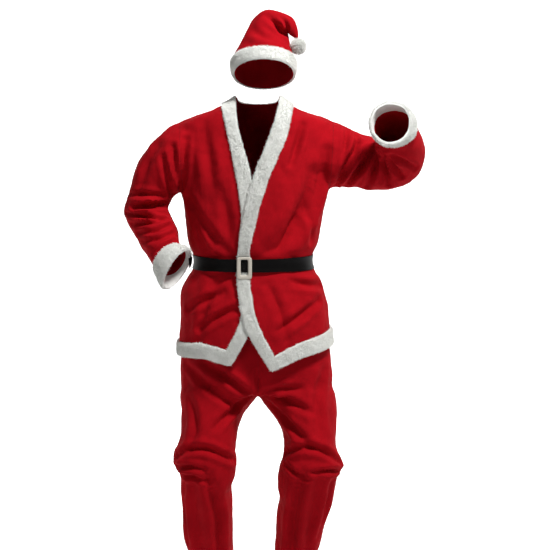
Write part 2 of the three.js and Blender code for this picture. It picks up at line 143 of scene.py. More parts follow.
# ---- Edges in the front view: x, z ----
LEFT_FREE_EDGE = [
    (66, 70), (66, 16), (50, -50), (23, -120), (-14, -209), (-43, -319),
    (-60, -430), (-62, -504), (-44, -625), (-26, -671), (40, -776),
]
LEFT_BAND_LINE = [
    (106, 70), (106, 2), (87, -90), (70, -127), (33, -208), (5, -298),
    (-6, -345), (-24, -430), (-25, -504), (-6, -625), (49, -729),
]
RIGHT_FREE_EDGE = [
    (-66, 70), (-66, 16), (-58, -50), (-52, -79), (-14, -209), (-8, -319),
    (-26, -430), (-28, -504), (-12, -625), (-26, -671), (-78, -761),
]
RIGHT_BAND_LINE = [
    (-106, 70), (-106, 2), (-100, -22), (-64, -182), (-43, -319),
    (-54, -430), (-55, -504), (-42, -625), (-90, -713),
]
LEFT_HEM = [(40, -776), (126, -740), (226, -717), (320, -700)]
LEFT_HEM_LINE = [(49, -729), (126, -694), (225, -668), (320, -650)]
RIGHT_HEM = [(-78, -761), (-157, -742), (-240, -747), (-320, -752)]
RIGHT_HEM_LINE = [(-90, -713), (-163, -697), (-239, -708), (-320, -712)]
BACK_HEM = [(-320, -752), (-240, -747), (0, -746), (226, -717), (320, -700)]
BACK_HEM_LINE = [(-320, -712), (-239, -708), (0, -705), (225, -668), (320, -650)]
BACK_NECK = [(-66, 70), (-66, 16), (-35, 8), (35, 8), (66, 16), (66, 70)]
BACK_NECK_LINE = [(-106, 70), (-106, 2), (-62, -24), (0, -32), (62, -24), (106, 2), (106, 70)]
ARMHOLE_RIGHT = [(-238, 70), (-236, -44), (-228, -266)]
ARMHOLE_LEFT = [(234, 70), (232, -38), (219, -266)]
SIDE_LIMIT, TOP_LIMIT = 320.0, 70.0
# ---- Side seam of the trousers: y, z ----
TROUSER_SEAM = [
    (-10, -430), (-6, -800), (-30, -925), (-65, -985), (-92, -1056),
    (-84, -1102), (-42, -1227), (-8, -1314), (12, -1370), (48, -1500),
]
# ---- Armpits, and the places near which the cuffs are cut ----
ARMPIT_RIGHT, ARMPIT_LEFT, ARMPIT_LAP = -262.0, -266.0, 20.0
CUFF_SPOTS = {"left": (350.0, -150.0, -60.0), "right": (-260.0, -120.0, -470.0)}
CUFF_REACH = 330.0
# ---- Where the left front leaves its full lift, and where the belt does ----
LAP_DEPTH, LAP_SIDE = (15, 90), (62, 112)
BELT_DEPTH, BELT_RIGHT, BELT_LEFT = (10, 80), (-170, -95), (20, 130)
BAND_WALL = 1.2
STITCH_LIFT = 0.4
BODY_STEP, TUBE_STEP = 8, 7
BODY_SQUARENESS, TUBE_SQUARENESS, FRAME_SQUARENESS = 2.35, 2.1, 8.0


class Side(Enum):
    """Which face of the garment a fold lies on."""

    FRONT = -1
    BACK = 1


@dataclass(frozen=True)
class Fold:
    """A soft trough with a ridge along each side, drawn in the front view.

    Args:
        path: points (x, z) in mm that the fold follows.
        depth: how deep it is, mm. A negative depth is a ridge.
        width: half of its breadth, mm.
        side: the face that it lies on.
    """

    path: Outline
    depth: float
    width: float
    side: Side = Side.FRONT


BACK = Side.BACK
JACKET_FOLDS = [
    Fold([(132, -55), (118, -110), (98, -168)], 7, 12),
    Fold([(168, -205), (144, -290), (100, -366), (42, -425)], 13, 30),
    Fold([(150, -300), (160, -400)], 4, 13),
    Fold([(112, -330), (60, -425)], 4, 12),
    Fold([(205, -128), (182, -248), (160, -330)], 6, 16),
    Fold([(-212, -98), (-221, -190), (-219, -240)], 8, 12),
    Fold([(-250, -118), (-238, -200), (-232, -250)], 7, 12),
    Fold([(-278, -150), (-262, -225), (-252, -262)], 6, 11),
    Fold([(-160, -50), (-140, -160), (-128, -280)], 4, 20),
    Fold([(-205, -268), (-160, -350), (-92, -425)], 5, 17),
    Fold([(-190, -330), (-150, -425)], 4, 13),
    Fold([(-110, -240), (-84, -330), (-88, -425)], 3.5, 18),
    Fold([(-96, -500), (-150, -560), (-175, -690)], 4, 16),
    Fold([(-52, -586), (-110, -612), (-172, -655)], 7, 13),
    Fold([(-100, -545), (-150, -565), (-205, -602)], 6, 13),
    Fold([(60, -655), (120, -622), (182, -578)], 7, 14),
    Fold([(100, -512), (150, -528), (206, -535)], 6, 14),
    Fold([(30, -520), (70, -600), (88, -700)], 4.5, 16),
    Fold([(-396, -318), (-340, -323), (-279, -331)], 9, 8),
    Fold([(-366, -298), (-325, -292), (-279, -291)], 12, 11),
    Fold([(-376, -349), (-325, -345), (-268, -332)], 6.5, 8),
    Fold([(-356, -374), (-310, -368), (-260, -351)], 5.5, 8),
    Fold([(-338, -398), (-290, -388), (-248, -374)], 4.5, 8),
    Fold([(-384, -262), (-330, -258), (-284, -268)], 6, 10),
    Fold([(-300, -118), (-335, -180), (-350, -250)], 4, 18),
    Fold([(-318, -432), (-280, -418), (-244, -392)], 3.5, 9),
    Fold([(240, -232), (262, -172), (299, -110)], 10, 12),
    Fold([(262, -236), (300, -184), (352, -116)], 10, 11),
    Fold([(362, -126), (345, -186), (326, -240)], 8, 10),
    Fold([(366, -132), (378, -180), (392, -232)], 9, 9),
    Fold([(374, -136), (398, -168), (428, -206)], 9, 9),
    Fold([(388, -138), (424, -156), (466, -180)], 6, 9),
    Fold([(264, -60), (262, -110), (252, -160)], 4.5, 8),
    Fold([(290, -72), (296, -104), (286, -150)], 4, 8),
    Fold([(-180, -60), (-120, -200), (-100, -330)], 6, 20, BACK),
    Fold([(180, -60), (130, -190), (105, -340)], 6, 20, BACK),
    Fold([(-205, -240), (-120, -330), (-40, -400)], 6, 16, BACK),
    Fold([(200, -240), (120, -340), (30, -410)], 7, 16, BACK),
    Fold([(-30, -120), (-20, -260), (-30, -400)], 4, 22, BACK),
    Fold([(-150, -500), (-130, -600), (-160, -700)], 6, 18, BACK),
    Fold([(120, -505), (135, -600), (120, -690)], 6, 18, BACK),
    Fold([(-30, -500), (0, -600), (-20, -700)], 4.5, 18, BACK),
    Fold([(-400, -300), (-340, -320), (-285, -330)], 6, 11, BACK),
    Fold([(-390, -345), (-330, -350), (-270, -345)], 5, 9, BACK),
    Fold([(-300, -110), (-330, -200), (-345, -290)], 5, 15, BACK),
    Fold([(250, -225), (320, -180), (400, -150)], 7, 14, BACK),
    Fold([(270, -80), (330, -140), (420, -190)], 6, 14, BACK),
    Fold([(-215, -110), (-222, -180), (-222, -240)], 7, 12, BACK),
    Fold([(212, -100), (212, -180), (206, -235)], 7, 12, BACK),
]
TROUSER_FOLDS = [
    Fold([(-165, -752), (-95, -800), (-8, -860)], 9, 14),
    Fold([(-215, -770), (-150, -830), (-60, -890)], 5, 15),
    Fold([(12, -856), (80, -868), (158, -905)], 7, 13),
    Fold([(14, -846), (70, -832), (128, -838)], 5, 12),
    Fold([(38, -895), (90, -940), (158, -1000)], 7, 14),
    Fold([(-22, -866), (-75, -905), (-128, -950)], 6, 13),
    Fold([(0, -780), (2, -820), (0, -858)], 4, 8),
    Fold([(200, -790), (170, -880), (190, -980)], 4.5, 18),
    Fold([(-205, -870), (-180, -940), (-200, -1010)], 4.5, 16),
    Fold([(-250, -1050), (-205, -1008), (-150, -1006), (-104, -1030), (-70, -1058)], 8, 12),
    Fold([(-250, -1076), (-205, -1062), (-160, -1068)], 7, 9),
    Fold([(-242, -1096), (-190, -1096), (-140, -1108)], 5, 9),
    Fold([(72, -1046), (112, -1008), (168, -1002), (215, -1028), (252, -1066)], 8, 12),
    Fold([(258, -1090), (210, -1074), (160, -1078)], 7, 9),
    Fold([(84, -1066), (110, -1082), (150, -1100)], 5, 9),
    Fold([(-150, -1085), (-120, -1190), (-118, -1345), (-128, -1475)], 8, 17),
    Fold([(-190, -1095), (-192, -1230), (-170, -1400)], 5.5, 19),
    Fold([(-215, -1120), (-226, -1220), (-214, -1330)], 4, 12),
    Fold([(135, -1085), (108, -1190), (104, -1345), (92, -1475)], 8, 17),
    Fold([(180, -1095), (172, -1220), (140, -1390)], 5.5, 19),
    Fold([(220, -1115), (206, -1210), (182, -1310)], 4, 12),
    Fold([(-150, -800), (-120, -850), (-30, -880)], 7, 15, BACK),
    Fold([(140, -800), (110, -850), (30, -880)], 7, 15, BACK),
    Fold([(-220, -900), (-160, -930), (-70, -925)], 6, 14, BACK),
    Fold([(220, -900), (160, -935), (70, -925)], 6, 14, BACK),
    Fold([(-230, -1030), (-160, -1062), (-80, -1040)], 9, 12, BACK),
    Fold([(-230, -1075), (-160, -1090), (-80, -1075)], 8, 11, BACK),
    Fold([(235, -1030), (165, -1062), (85, -1040)], 9, 12, BACK),
    Fold([(235, -1078), (165, -1092), (85, -1076)], 8, 11, BACK),
    Fold([(-150, -1140), (-165, -1260), (-150, -1400)], 6, 14, BACK),
    Fold([(140, -1140), (140, -1260), (112, -1400)], 6, 14, BACK),
]
HAT_FOLDS = [
    Fold([(30, 268), (56, 240), (80, 214)], 9, 9),
    Fold([(-20, 232), (10, 205), (50, 190)], 4, 10),
    Fold([(70, 262), (84, 240), (90, 222)], 6, 7),
    Fold([(-40, 190), (0, 176), (40, 178)], 3, 10),
    Fold([(20, 262), (50, 225), (70, 190)], 7, 11, BACK),
    Fold([(-30, 215), (20, 185), (80, 178)], 5, 11, BACK),
]


# ---------------------------------------------------------------- meshes as arrays
@dataclass
class Cloth:
    """A triangle mesh as arrays, mm, with one value per point for each named field."""

    points: Array
    faces: Array
    fields: dict[str, Array] = field(default_factory=dict)

    def normals(self) -> Array:
        """Outward unit normal at each point.

        Returns:
            One row for each point.
        """
        corner = self.points[self.faces]
        face = np.cross(corner[:, 1] - corner[:, 0], corner[:, 2] - corner[:, 0])
        total = np.zeros_like(self.points)
        for k in range(3):
            np.add.at(total, self.faces[:, k], face)
        return total / np.maximum(np.linalg.norm(total, axis=1, keepdims=True), 1e-9)

    def smoothed(self, values: Array, steps: int) -> Array:
        """The values averaged with their neighbours a number of times.

        Args:
            values: one value or row for each point.
            steps: how many times.

        Returns:
            The averaged values.
        """
        edges = np.vstack([self.faces[:, [0, 1]], self.faces[:, [1, 2]], self.faces[:, [2, 0]]])
        count = np.bincount(edges.ravel(), minlength=len(self.points)).astype(float)
        flat = values.reshape(len(values), -1)
        for _ in range(steps):
            out = np.empty_like(flat)
            for k in range(flat.shape[1]):
                near = np.bincount(edges[:, 0], flat[edges[:, 1], k], len(flat))
                near += np.bincount(edges[:, 1], flat[edges[:, 0], k], len(flat))
                out[:, k] = 0.5 * flat[:, k] + 0.5 * near / np.maximum(count, 1)
            flat = out
        return flat.reshape(values.shape)

    def moved(self, lift: Array) -> "Cloth":
        """The same cloth with each point moved out along its normal."""
        points = self.points + self.normals() * lift[:, None]
        return Cloth(points, self.faces, dict(self.fields))

    def clipped(self, keep: Array) -> "Cloth":
        """The part where keep is negative, cut cleanly along its zero line.

        Args:
            keep: one value for each point.

        Returns:
            The kept part.
        """
        inside = keep < 0
        corners = inside[self.faces]
        number = corners.sum(axis=1)
        faces = [self.faces[number == 3]]
        cut_from: list[Array] = []
        cut_to: list[Array] = []
        base = len(self.points)
        for wanted in (1, 2):
            rows = self.faces[number == wanted]
            odd = (inside[rows] if wanted == 1 else ~inside[rows]).argmax(axis=1)
            turned = rows[np.arange(len(rows))[:, None], (odd[:, None] + np.arange(3)) % 3]
            first = base + sum(len(a) for a in cut_from)
            one = first + np.arange(len(turned))
            two = one + len(turned)
            cut_from += [turned[:, 0], turned[:, 0]]
            cut_to += [turned[:, 1], turned[:, 2]]
            if wanted == 1:
                faces.append(np.column_stack([turned[:, 0], one, two]))
            else:
                faces.append(np.column_stack([one, turned[:, 1], turned[:, 2]]))
                faces.append(np.column_stack([one, turned[:, 2], two]))
        start, end = np.concatenate(cut_from), np.concatenate(cut_to)
        swap = start > end
        start, end = np.where(swap, end, start), np.where(swap, start, end)
        share = np.clip(keep[start] / (keep[start] - keep[end]), 0.02, 0.98)
        pair, back = np.unique(start * (base + 1) + end, return_inverse=True)
        chosen = np.zeros(len(pair), int)
        chosen[back] = np.arange(len(back))
        new_index = np.concatenate([np.arange(base), base + back])

        def blend(values: Array) -> Array:
            """The values with those of the new points after them.

            Args:
                values: one value or row for each point.

            Returns:
                The longer array.
            """
            part = share[chosen].reshape((-1,) + (1,) * (values.ndim - 1))
            made = values[start[chosen]] * (1 - part) + values[end[chosen]] * part
            return np.concatenate([values, made])

        points = blend(self.points)
        all_faces = new_index[np.vstack(faces)]
        used = np.unique(all_faces)
        renumber = np.zeros(len(points), int)
        renumber[used] = np.arange(len(used))
        fields = {name: blend(values)[used] for name, values in self.fields.items()}
        return Cloth(points[used], renumber[all_faces], fields)


def smooth_step(value: Array, low: float, high: float) -> Array:
    """0 below low, 1 above high, and a soft step between."""
    share = np.clip((value - low) / (high - low), 0, 1)
    return share * share * (3 - 2 * share)


def dense(rows: Sequence[Sequence[float]], step: float) -> Array:
    """Rows filled in between, at about one every step mm, with their corners rounded.

    Args:
        rows: numbers, one row for each section.
        step: distance between the new rows, mm.

    Returns:
        The new rows as an array.
    """
    table = np.array(rows, float)
    if table.shape[1] == 7:
        middle = (table[:, 0:3] + table[:, 3:6]) / 2
        run = np.linalg.norm(np.diff(middle, axis=0), axis=1)
        turn = np.linalg.norm(np.diff(table[:, 0:3], axis=0), axis=1)
        gaps = np.maximum(run, turn * 0.7)
    else:
        gaps = np.abs(np.diff(table[:, 0])) + 0.3 * np.abs(np.diff(table[:, 1]))
    place = np.concatenate([[0], np.cumsum(gaps)])
    new = np.linspace(0, place[-1], int(place[-1] / step) + 2)
    out = np.column_stack([np.interp(new, place, table[:, k]) for k in range(table.shape[1])])
    for _ in range(4):
        out[1:-1] = 0.25 * out[:-2] + 0.5 * out[1:-1] + 0.25 * out[2:]
    return out


def oval(columns: int, squareness: float) -> tuple[Array, Array]:
    """Reach of a squared oval across and along, all the way round.

    Args:
        columns: points in each ring.
        squareness: 2 is an ellipse and more is squarer.

    Returns:
        The two reaches, one value for each point.
    """
    angle = np.linspace(0, 2 * math.pi, columns, endpoint=False)
    across, along = np.cos(angle), np.sin(angle)
    power = 2 / squareness
    return np.sign(across) * np.abs(across) ** power, np.sign(along) * np.abs(along) ** power


def level_rings(rows: Sequence[Sequence[float]], columns: int = 120) -> Array:
    """Rings of a body form, one at each height.

    Args:
        rows: the table of sections.
        columns: points in each ring.

    Returns:
        The rings, mm.
    """
    across, along = oval(columns, BODY_SQUARENESS)
    rings = []
    for z, left, right, front, back in dense(rows, BODY_STEP):
        x = (left + right) / 2 + (left - right) / 2 * across
        y = np.where(along > 0, back * along, -front * along)
        rings.append(np.column_stack([x, y, np.full(columns, z)]))
    return np.array(rings)


def tube_rings(rows: Sequence[Sequence[float]], columns: int = 72) -> Array:
    """Rings of a tube, each square to the tube's run.

    Args:
        rows: the table of sections.
        columns: points in each ring.

    Returns:
        The rings, mm.
    """
    table = dense(rows, TUBE_STEP)
    a, b, depth = table[:, 0:3], table[:, 3:6], table[:, 6]
    middle = (a + b) / 2
    run = np.gradient(middle, axis=0)
    across = a - middle
    along = np.cross(run, across)
    along *= (depth / np.linalg.norm(along, axis=1))[:, None]
    share_across, share_along = oval(columns, TUBE_SQUARENESS)
    return (
        middle[:, None, :]
        + across[:, None, :] * share_across[None, :, None]
        + along[:, None, :] * share_along[None, :, None]
    )


def ring_faces(rows: int, columns: int) -> list[tuple[int, ...]]:
    """Faces of a closed form of rings, with flat ends.

    Args:
        rows: how many rings.
        columns: points in each ring.

    Returns:
        Corner numbers of each face.
    """
    quads = []
    for i in range(rows - 1):
        for k in range(columns):
            n = (k + 1) % columns
            quads.append((i * columns + k, i * columns + n, (i + 1) * columns + n, (i + 1) * columns + k))
    last = (rows - 1) * columns
    quads.append(tuple(range(columns))[::-1])
    quads.append(tuple(last + k for k in range(columns)))
    return quads


def joined_form(forms: Sequence[Array], voxel: float, rounding: int) -> Cloth:
    """One closed skin round several overlapping ring forms.

    Args:
        forms: arrays of rings.
        voxel: edge of the remesh, mm.
        rounding: how many times the skin is averaged.

    Returns:
        The skin as triangles, mm.
    """
    mesh = bpy.data.meshes.new("form")
    points, faces = [], []
    for rings in forms:
        base = len(points)
        rows, columns = rings.shape[:2]
        points += rings.reshape(-1, 3).tolist()
        faces += [tuple(base + i for i in face) for face in ring_faces(rows, columns)]
    mesh.from_pydata([[c * MM for c in p] for p in points], [], faces)
    obj = bpy.data.objects.new("form", mesh)
    bpy.context.scene.collection.objects.link(obj)
    union = obj.modifiers.new("union", "REMESH")
    union.mode = "VOXEL"
    union.voxel_size = voxel * MM
    cloth = arrays_of(obj)
    bpy.data.objects.remove(obj)
    if signed_volume(cloth) < 0:
        cloth.faces = cloth.faces[:, ::-1]
    cloth.points = cloth.smoothed(cloth.points, rounding)
    return cloth


def arrays_of(obj: bpy.types.Object) -> Cloth:
    """An object's evaluated mesh as triangles, mm.

    Args:
        obj: the object.

    Returns:
        The mesh.
    """
    held = obj.evaluated_get(bpy.context.evaluated_depsgraph_get())
    mesh = held.to_mesh()
    mesh.calc_loop_triangles()
    points = np.empty(len(mesh.vertices) * 3)
    mesh.vertices.foreach_get("co", points)
    faces = np.empty(len(mesh.loop_triangles) * 3, int)
    mesh.loop_triangles.foreach_get("vertices", faces)
    held.to_mesh_clear()
    return Cloth(points.reshape(-1, 3) / MM, faces.reshape(-1, 3))


def signed_volume(cloth: Cloth) -> float:
    """Volume inside the skin, negative where its faces point inwards."""
    a, b, c = (cloth.points[cloth.faces[:, k]] for k in range(3))
    return float(np.einsum("ij,ij->i", a, np.cross(b, c)).sum() / 6)


def line_distance(x: Array, z: Array, line: Outline) -> Array:
    """Distance in the front view from each point to a line of straight stretches.

    Args:
        x: places across, mm.
        z: heights, mm.
        line: points (x, z), mm.

    Returns:
        The distances, mm.
    """
    best = np.full(len(x), 1e9)
    for (x0, z0), (x1, z1) in zip(line, line[1:]):
        dx, dz = x1 - x0, z1 - z0
        share = np.clip(((x - x0) * dx + (z - z0) * dz) / (dx * dx + dz * dz + 1e-9), 0, 1)
        best = np.minimum(best, np.hypot(x - x0 - share * dx, z - z0 - share * dz))
    return best


def across_at(z: Array, line: Outline) -> Array:
    """Place of a falling line at each height.

    Args:
        z: heights, mm.
        line: points (place, height), from the top down.

    Returns:
        The places, mm.
    """
    return np.interp(-z, [-p[1] for p in line], [p[0] for p in line])


def outline_field(points: Array, outline: Outline) -> Array:
    """Signed distance in the front view to a closed outline, negative inside.

    Args:
        points: where, mm.
        outline: corners (x, z), mm.

    Returns:
        The signed distances, mm.
    """
    x, z = points[:, 0], points[:, 2]
    closed = list(outline) + [outline[0]]
    inside = np.zeros(len(x), bool)
    for (x0, z0), (x1, z1) in zip(closed, closed[1:]):
        crosses = (z0 > z) != (z1 > z)
        rise = z1 - z0 if z1 != z0 else 1e-9
        inside ^= crosses & (x < (x1 - x0) * (z - z0) / rise + x0)
    distance = line_distance(x, z, closed)
    return np.where(inside, -distance, distance)


def rounded(line: Outline, times: int = 2) -> list[tuple[float, float]]:
    """A line with its inner corners cut round, its ends kept.

    Args:
        line: points (x, z), mm.
        times: how often the corners are cut.

    Returns:
        The new points.
    """
    points = np.array(line, float)
    for _ in range(times):
        low = points[:-1] * 0.75 + points[1:] * 0.25
        high = points[:-1] * 0.25 + points[1:] * 0.75
        middle = np.stack([low, high], axis=1).reshape(-1, 2)
        points = np.vstack([points[:1], middle[1:-1], points[-1:]])
    return [tuple(p) for p in points]


def lay_folds(cloth: Cloth, folds: Sequence[Fold]) -> Array:
    """How far each point moves out or in for the listed folds.

    Args:
        cloth: the skin that the folds lie on.
        folds: the folds.

    Returns:
        The move along the normal for each point, mm.
    """
    normal = cloth.normals()
    total = np.zeros(len(cloth.points))
    for fold in folds:
        facing = normal[:, 1] * fold.side.value > FACING
        skin = np.flatnonzero(facing)
        x, z = cloth.points[skin, 0], cloth.points[skin, 2]
        path = np.array(rounded(fold.path, FOLD_CORNERS))
        steps = np.linspace(0, len(path) - 1, FOLD_STEPS)
        path_x = np.interp(steps, np.arange(len(path)), path[:, 0])
        path_z = np.interp(steps, np.arange(len(path)), path[:, 1])
        depth_y = []
        for px, pz in zip(path_x, path_z):
            near = np.hypot(x - px, z - pz)
            close = skin[near < near.min() + NEAR_PATH]
            y = cloth.points[close, 1] * fold.side.value
            depth_y.append(np.median(y[y > y.max() - OUTER_SKIN]) * fold.side.value)
        track = np.column_stack([path_x, depth_y, path_z])
        width = fold.width * FOLD_SPREAD
        reach = REACH_IN_WIDTHS * width
        low, high = track.min(axis=0) - reach, track.max(axis=0) + reach
        near = np.flatnonzero(((cloth.points > low) & (cloth.points < high)).all(axis=1))
        gap = np.linalg.norm(cloth.points[near][:, None, :] - track[None], axis=2)
        where = gap.argmin(axis=1)
        distance = gap.min(axis=1)
        share = where / (len(track) - 1)
        taper = np.sqrt(np.clip(np.sin(math.pi * (TAPER_START + TAPER_RUN * share)), 0, 1))
        trough = np.exp(-((distance / width) ** 2))
        ridge = np.exp(-(((distance - RIDGE_PLACE * width) / width) ** 2))
        total[near] += FOLD_GAIN * fold.depth * taper * (RIDGE_HEIGHT * ridge - trough)
    return total


def ripple(points: Array, seed: int, length: float, height: float, upright: float) -> Array:
    """Small uneven waves over the cloth.

    Args:
        points: where, mm.
        seed: start of the random draws.
        length: usual length of a wave, mm.
        height: half of its height, mm.
        upright: how much longer the waves run up and down than across.

    Returns:
        The wave's height at each point, mm.
    """
    draw = np.random.default_rng(seed)
    total = np.zeros(len(points))
    for _ in range(WAVE_COUNT):
        way = draw.normal(size=3)
        way /= np.linalg.norm(way)
        way[2] /= upright
        wave = 2 * math.pi / (length * draw.uniform(*WAVE_SPREAD))
        total += np.sin(points @ way * wave + draw.uniform(0, 2 * math.pi))
    soft = total / math.sqrt(WAVE_COUNT)
    return height * np.sign(soft) * np.abs(soft) ** WAVE_SHARPNESS


def subdivided(cloth: Cloth) -> Cloth:
    """Each triangle as four.

    Args:
        cloth: the skin.

    Returns:
        The finer skin.
    """
    count = len(cloth.points)
    edges = np.vstack([cloth.faces[:, [0, 1]], cloth.faces[:, [1, 2]], cloth.faces[:, [2, 0]]])
    edges.sort(axis=1)
    pair, back = np.unique(edges, axis=0, return_inverse=True)
    middle = count + back.reshape(3, -1).T
    a, b, c = cloth.faces.T
    ab, bc, ca = middle.T
    faces = np.vstack([
        np.column_stack([a, ab, ca]), np.column_stack([ab, b, bc]),
        np.column_stack([ca, bc, c]), np.column_stack([ab, bc, ca]),
    ])
    points = np.concatenate([cloth.points, cloth.points[pair].mean(axis=1)])
    return Cloth(points, faces)


def thick(cloth: Cloth, low: Array | float, high: Array | float) -> Cloth:
    """A closed wall from low to high along the cloth's normals.

    Args:
        cloth: the open skin.
        low: where the inner face lies, mm.
        high: where the outer face lies, mm.

    Returns:
        The closed wall.
    """
    normal = cloth.normals()
    count = len(cloth.points)
    outer, inner = (np.broadcast_to(value, count)[:, None] for value in (high, low))
    points = np.vstack([cloth.points + normal * outer, cloth.points + normal * inner])
    edges = np.vstack([cloth.faces[:, [0, 1]], cloth.faces[:, [1, 2]], cloth.faces[:, [2, 0]]])
    key = edges[:, 0] * count + edges[:, 1]
    other = edges[:, 1] * count + edges[:, 0]
    rim = edges[~np.isin(key, other)]
    i, j = rim.T
    faces = np.vstack([
        cloth.faces, cloth.faces[:, ::-1] + count,
        np.column_stack([j, i, i + count]), np.column_stack([j, i + count, j + count]),
    ])
    return Cloth(points, faces)


def made(name: str, cloth: Cloth, finish: bpy.types.Material) -> bpy.types.Object:
    """A shown object of the cloth, at the origin.

    Args:
        name: its name.
        cloth: its closed mesh.
        finish: its material.

    Returns:
        The object.
    """
    mesh = bpy.data.meshes.new(name)
    mesh.from_pydata((cloth.points * MM).tolist(), [], cloth.faces.tolist())
    mesh.polygons.foreach_set("use_smooth", np.ones(len(mesh.polygons), bool))
    mesh.set_sharp_from_angle(angle=math.radians(SHARP_EDGE))
    mesh.materials.append(finish)
    obj = bpy.data.objects.new(name, mesh)
    bpy.context.scene.collection.objects.link(obj)
    return obj


def area_of(cloth: Cloth) -> float:
    """Area of a skin, square metres.

    Args:
        cloth: the skin.

    Returns:
        The area.
    """
    corner = cloth.points[cloth.faces]
    cross = np.cross(corner[:, 1] - corner[:, 0], corner[:, 2] - corner[:, 0])
    return float(np.linalg.norm(cross, axis=1).sum() / 2) * MM * MM


# ---------------------------------------------------------------- finishes
def node_of(tree: bpy.types.NodeTree, kind: str, **values: object) -> bpy.types.Node:
    """A node with its sockets set by name.

    Args:
        tree: the node tree.
        kind: the kind of node.
        values: values of its sockets.

    Returns:
        The node.
    """
    node = tree.nodes.new(kind)
    for key, value in values.items():
        node.inputs[key.replace("_", " ")].default_value = value
    return node


@dataclass(frozen=True)
class Finish:
    """A matt surface with blotches, fibres and a fine relief.

    Args:
        name: the finish's name.
        dark, light: the two colours that its blotches run between.
        rough: roughness.
        sheen: how much light its nap catches.
        blotch: blotches a metre.
        grain: fibres a metre.
        relief: height of the fine relief, m.
        specular: strength of its gloss.
        coat: strength of its clear coat.
    """

    name: str
    dark: tuple[float, float, float]
    light: tuple[float, float, float]
    rough: float
    sheen: float = 0.0
    blotch: float = 14.0
    grain: float = 700.0
    relief: float = 0.0004
    specular: float = 0.2
    coat: float = 0.0

    def make(self) -> bpy.types.Material:
        """The material of this finish.

        Returns:
            The material.
        """
        material = bpy.data.materials.new(self.name)
        material.use_nodes = True
        tree = material.node_tree
        shader = tree.nodes["Principled BSDF"]
        place = tree.nodes.new("ShaderNodeTexCoord")
        large = node_of(tree, "ShaderNodeTexNoise", Scale=self.blotch, Detail=5.0, Roughness=0.6)
        small = node_of(tree, "ShaderNodeTexNoise", Scale=self.grain, Detail=3.0, Roughness=0.65)
        for noise in (large, small):
            tree.links.new(place.outputs["Object"], noise.inputs["Vector"])
        blend = tree.nodes.new("ShaderNodeMath")
        blend.operation = "MULTIPLY_ADD"
        blend.inputs[1].default_value = 0.55
        tree.links.new(small.outputs["Fac"], blend.inputs[0])
        share = tree.nodes.new("ShaderNodeMath")
        share.operation = "MULTIPLY"
        share.inputs[1].default_value = 0.45
        tree.links.new(large.outputs["Fac"], share.inputs[0])
        tree.links.new(share.outputs[0], blend.inputs[2])
        ramp = tree.nodes.new("ShaderNodeValToRGB")
        ramp.color_ramp.elements[0].position = 0.3
        ramp.color_ramp.elements[0].color = (*self.dark, 1)
        ramp.color_ramp.elements[1].position = 0.7
        ramp.color_ramp.elements[1].color = (*self.light, 1)
        tree.links.new(blend.outputs[0], ramp.inputs["Fac"])
        tree.links.new(ramp.outputs["Color"], shader.inputs["Base Color"])
        bump = node_of(tree, "ShaderNodeBump", Strength=0.7, Distance=self.relief)
        tree.links.new(small.outputs["Fac"], bump.inputs["Height"])
        tree.links.new(bump.outputs["Normal"], shader.inputs["Normal"])
        shader.inputs["Roughness"].default_value = self.rough
        shader.inputs["Sheen Weight"].default_value = self.sheen
        shader.inputs["Sheen Roughness"].default_value = 0.45
        shader.inputs["Sheen Tint"].default_value = (*self.light, 1)
        shader.inputs["Specular IOR Level"].default_value = self.specular
        shader.inputs["Coat Weight"].default_value = self.coat
        shader.inputs["Coat Roughness"].default_value = 0.3
        return material


FELT_FINISH = Finish("red_felt", (0.26, 0.0026, 0.0062), (0.46, 0.005, 0.0115), 0.95, 0.03,
                     specular=0.05)
PLUSH_FINISH = Finish("white_plush", (0.74, 0.745, 0.71), (0.93, 0.94, 0.91), 0.95, 0.2,
                      blotch=60, grain=420, relief=0.0012, specular=0.1)
BELT_FINISH = Finish("black_belt", (0.0012, 0.001, 0.001), (0.004, 0.0034, 0.0034), 0.5,
                     blotch=40, grain=900, relief=0.00015, specular=0.1)
PLASTIC_FINISH = Finish("ivory_plastic", (0.52, 0.48, 0.41), (0.62, 0.58, 0.50), 0.38,
                        blotch=30, grain=300, relief=0.00004, specular=0.5, coat=0.3)
THREAD_FINISH = Finish("red_thread", (0.15, 0.002, 0.004), (0.24, 0.004, 0.009), 0.8,
                       blotch=90, grain=1500, relief=0.0001)


# ---------------------------------------------------------------- Geometry Nodes
def node_group(name: str, numbers: dict[str, float]) -> bpy.types.GeometryNodeTree:
    """An empty geometry tree with named number inputs and a material input.

    Args:
        name: its name.
        numbers: names and values of its number inputs.

    Returns:
        The tree.
    """
    tree = bpy.data.node_groups.new(name, "GeometryNodeTree")
    tree.interface.new_socket("Geometry", in_out="INPUT", socket_type="NodeSocketGeometry")
    for key, value in numbers.items():
        kind = "NodeSocketInt" if key == "Seed" else "NodeSocketFloat"
        made_socket = tree.interface.new_socket(key, in_out="INPUT", socket_type=kind)
        made_socket.default_value = int(value) if key == "Seed" else value
    tree.interface.new_socket("Finish", in_out="INPUT", socket_type="NodeSocketMaterial")
    tree.interface.new_socket("Geometry", in_out="OUTPUT", socket_type="NodeSocketGeometry")
    return tree


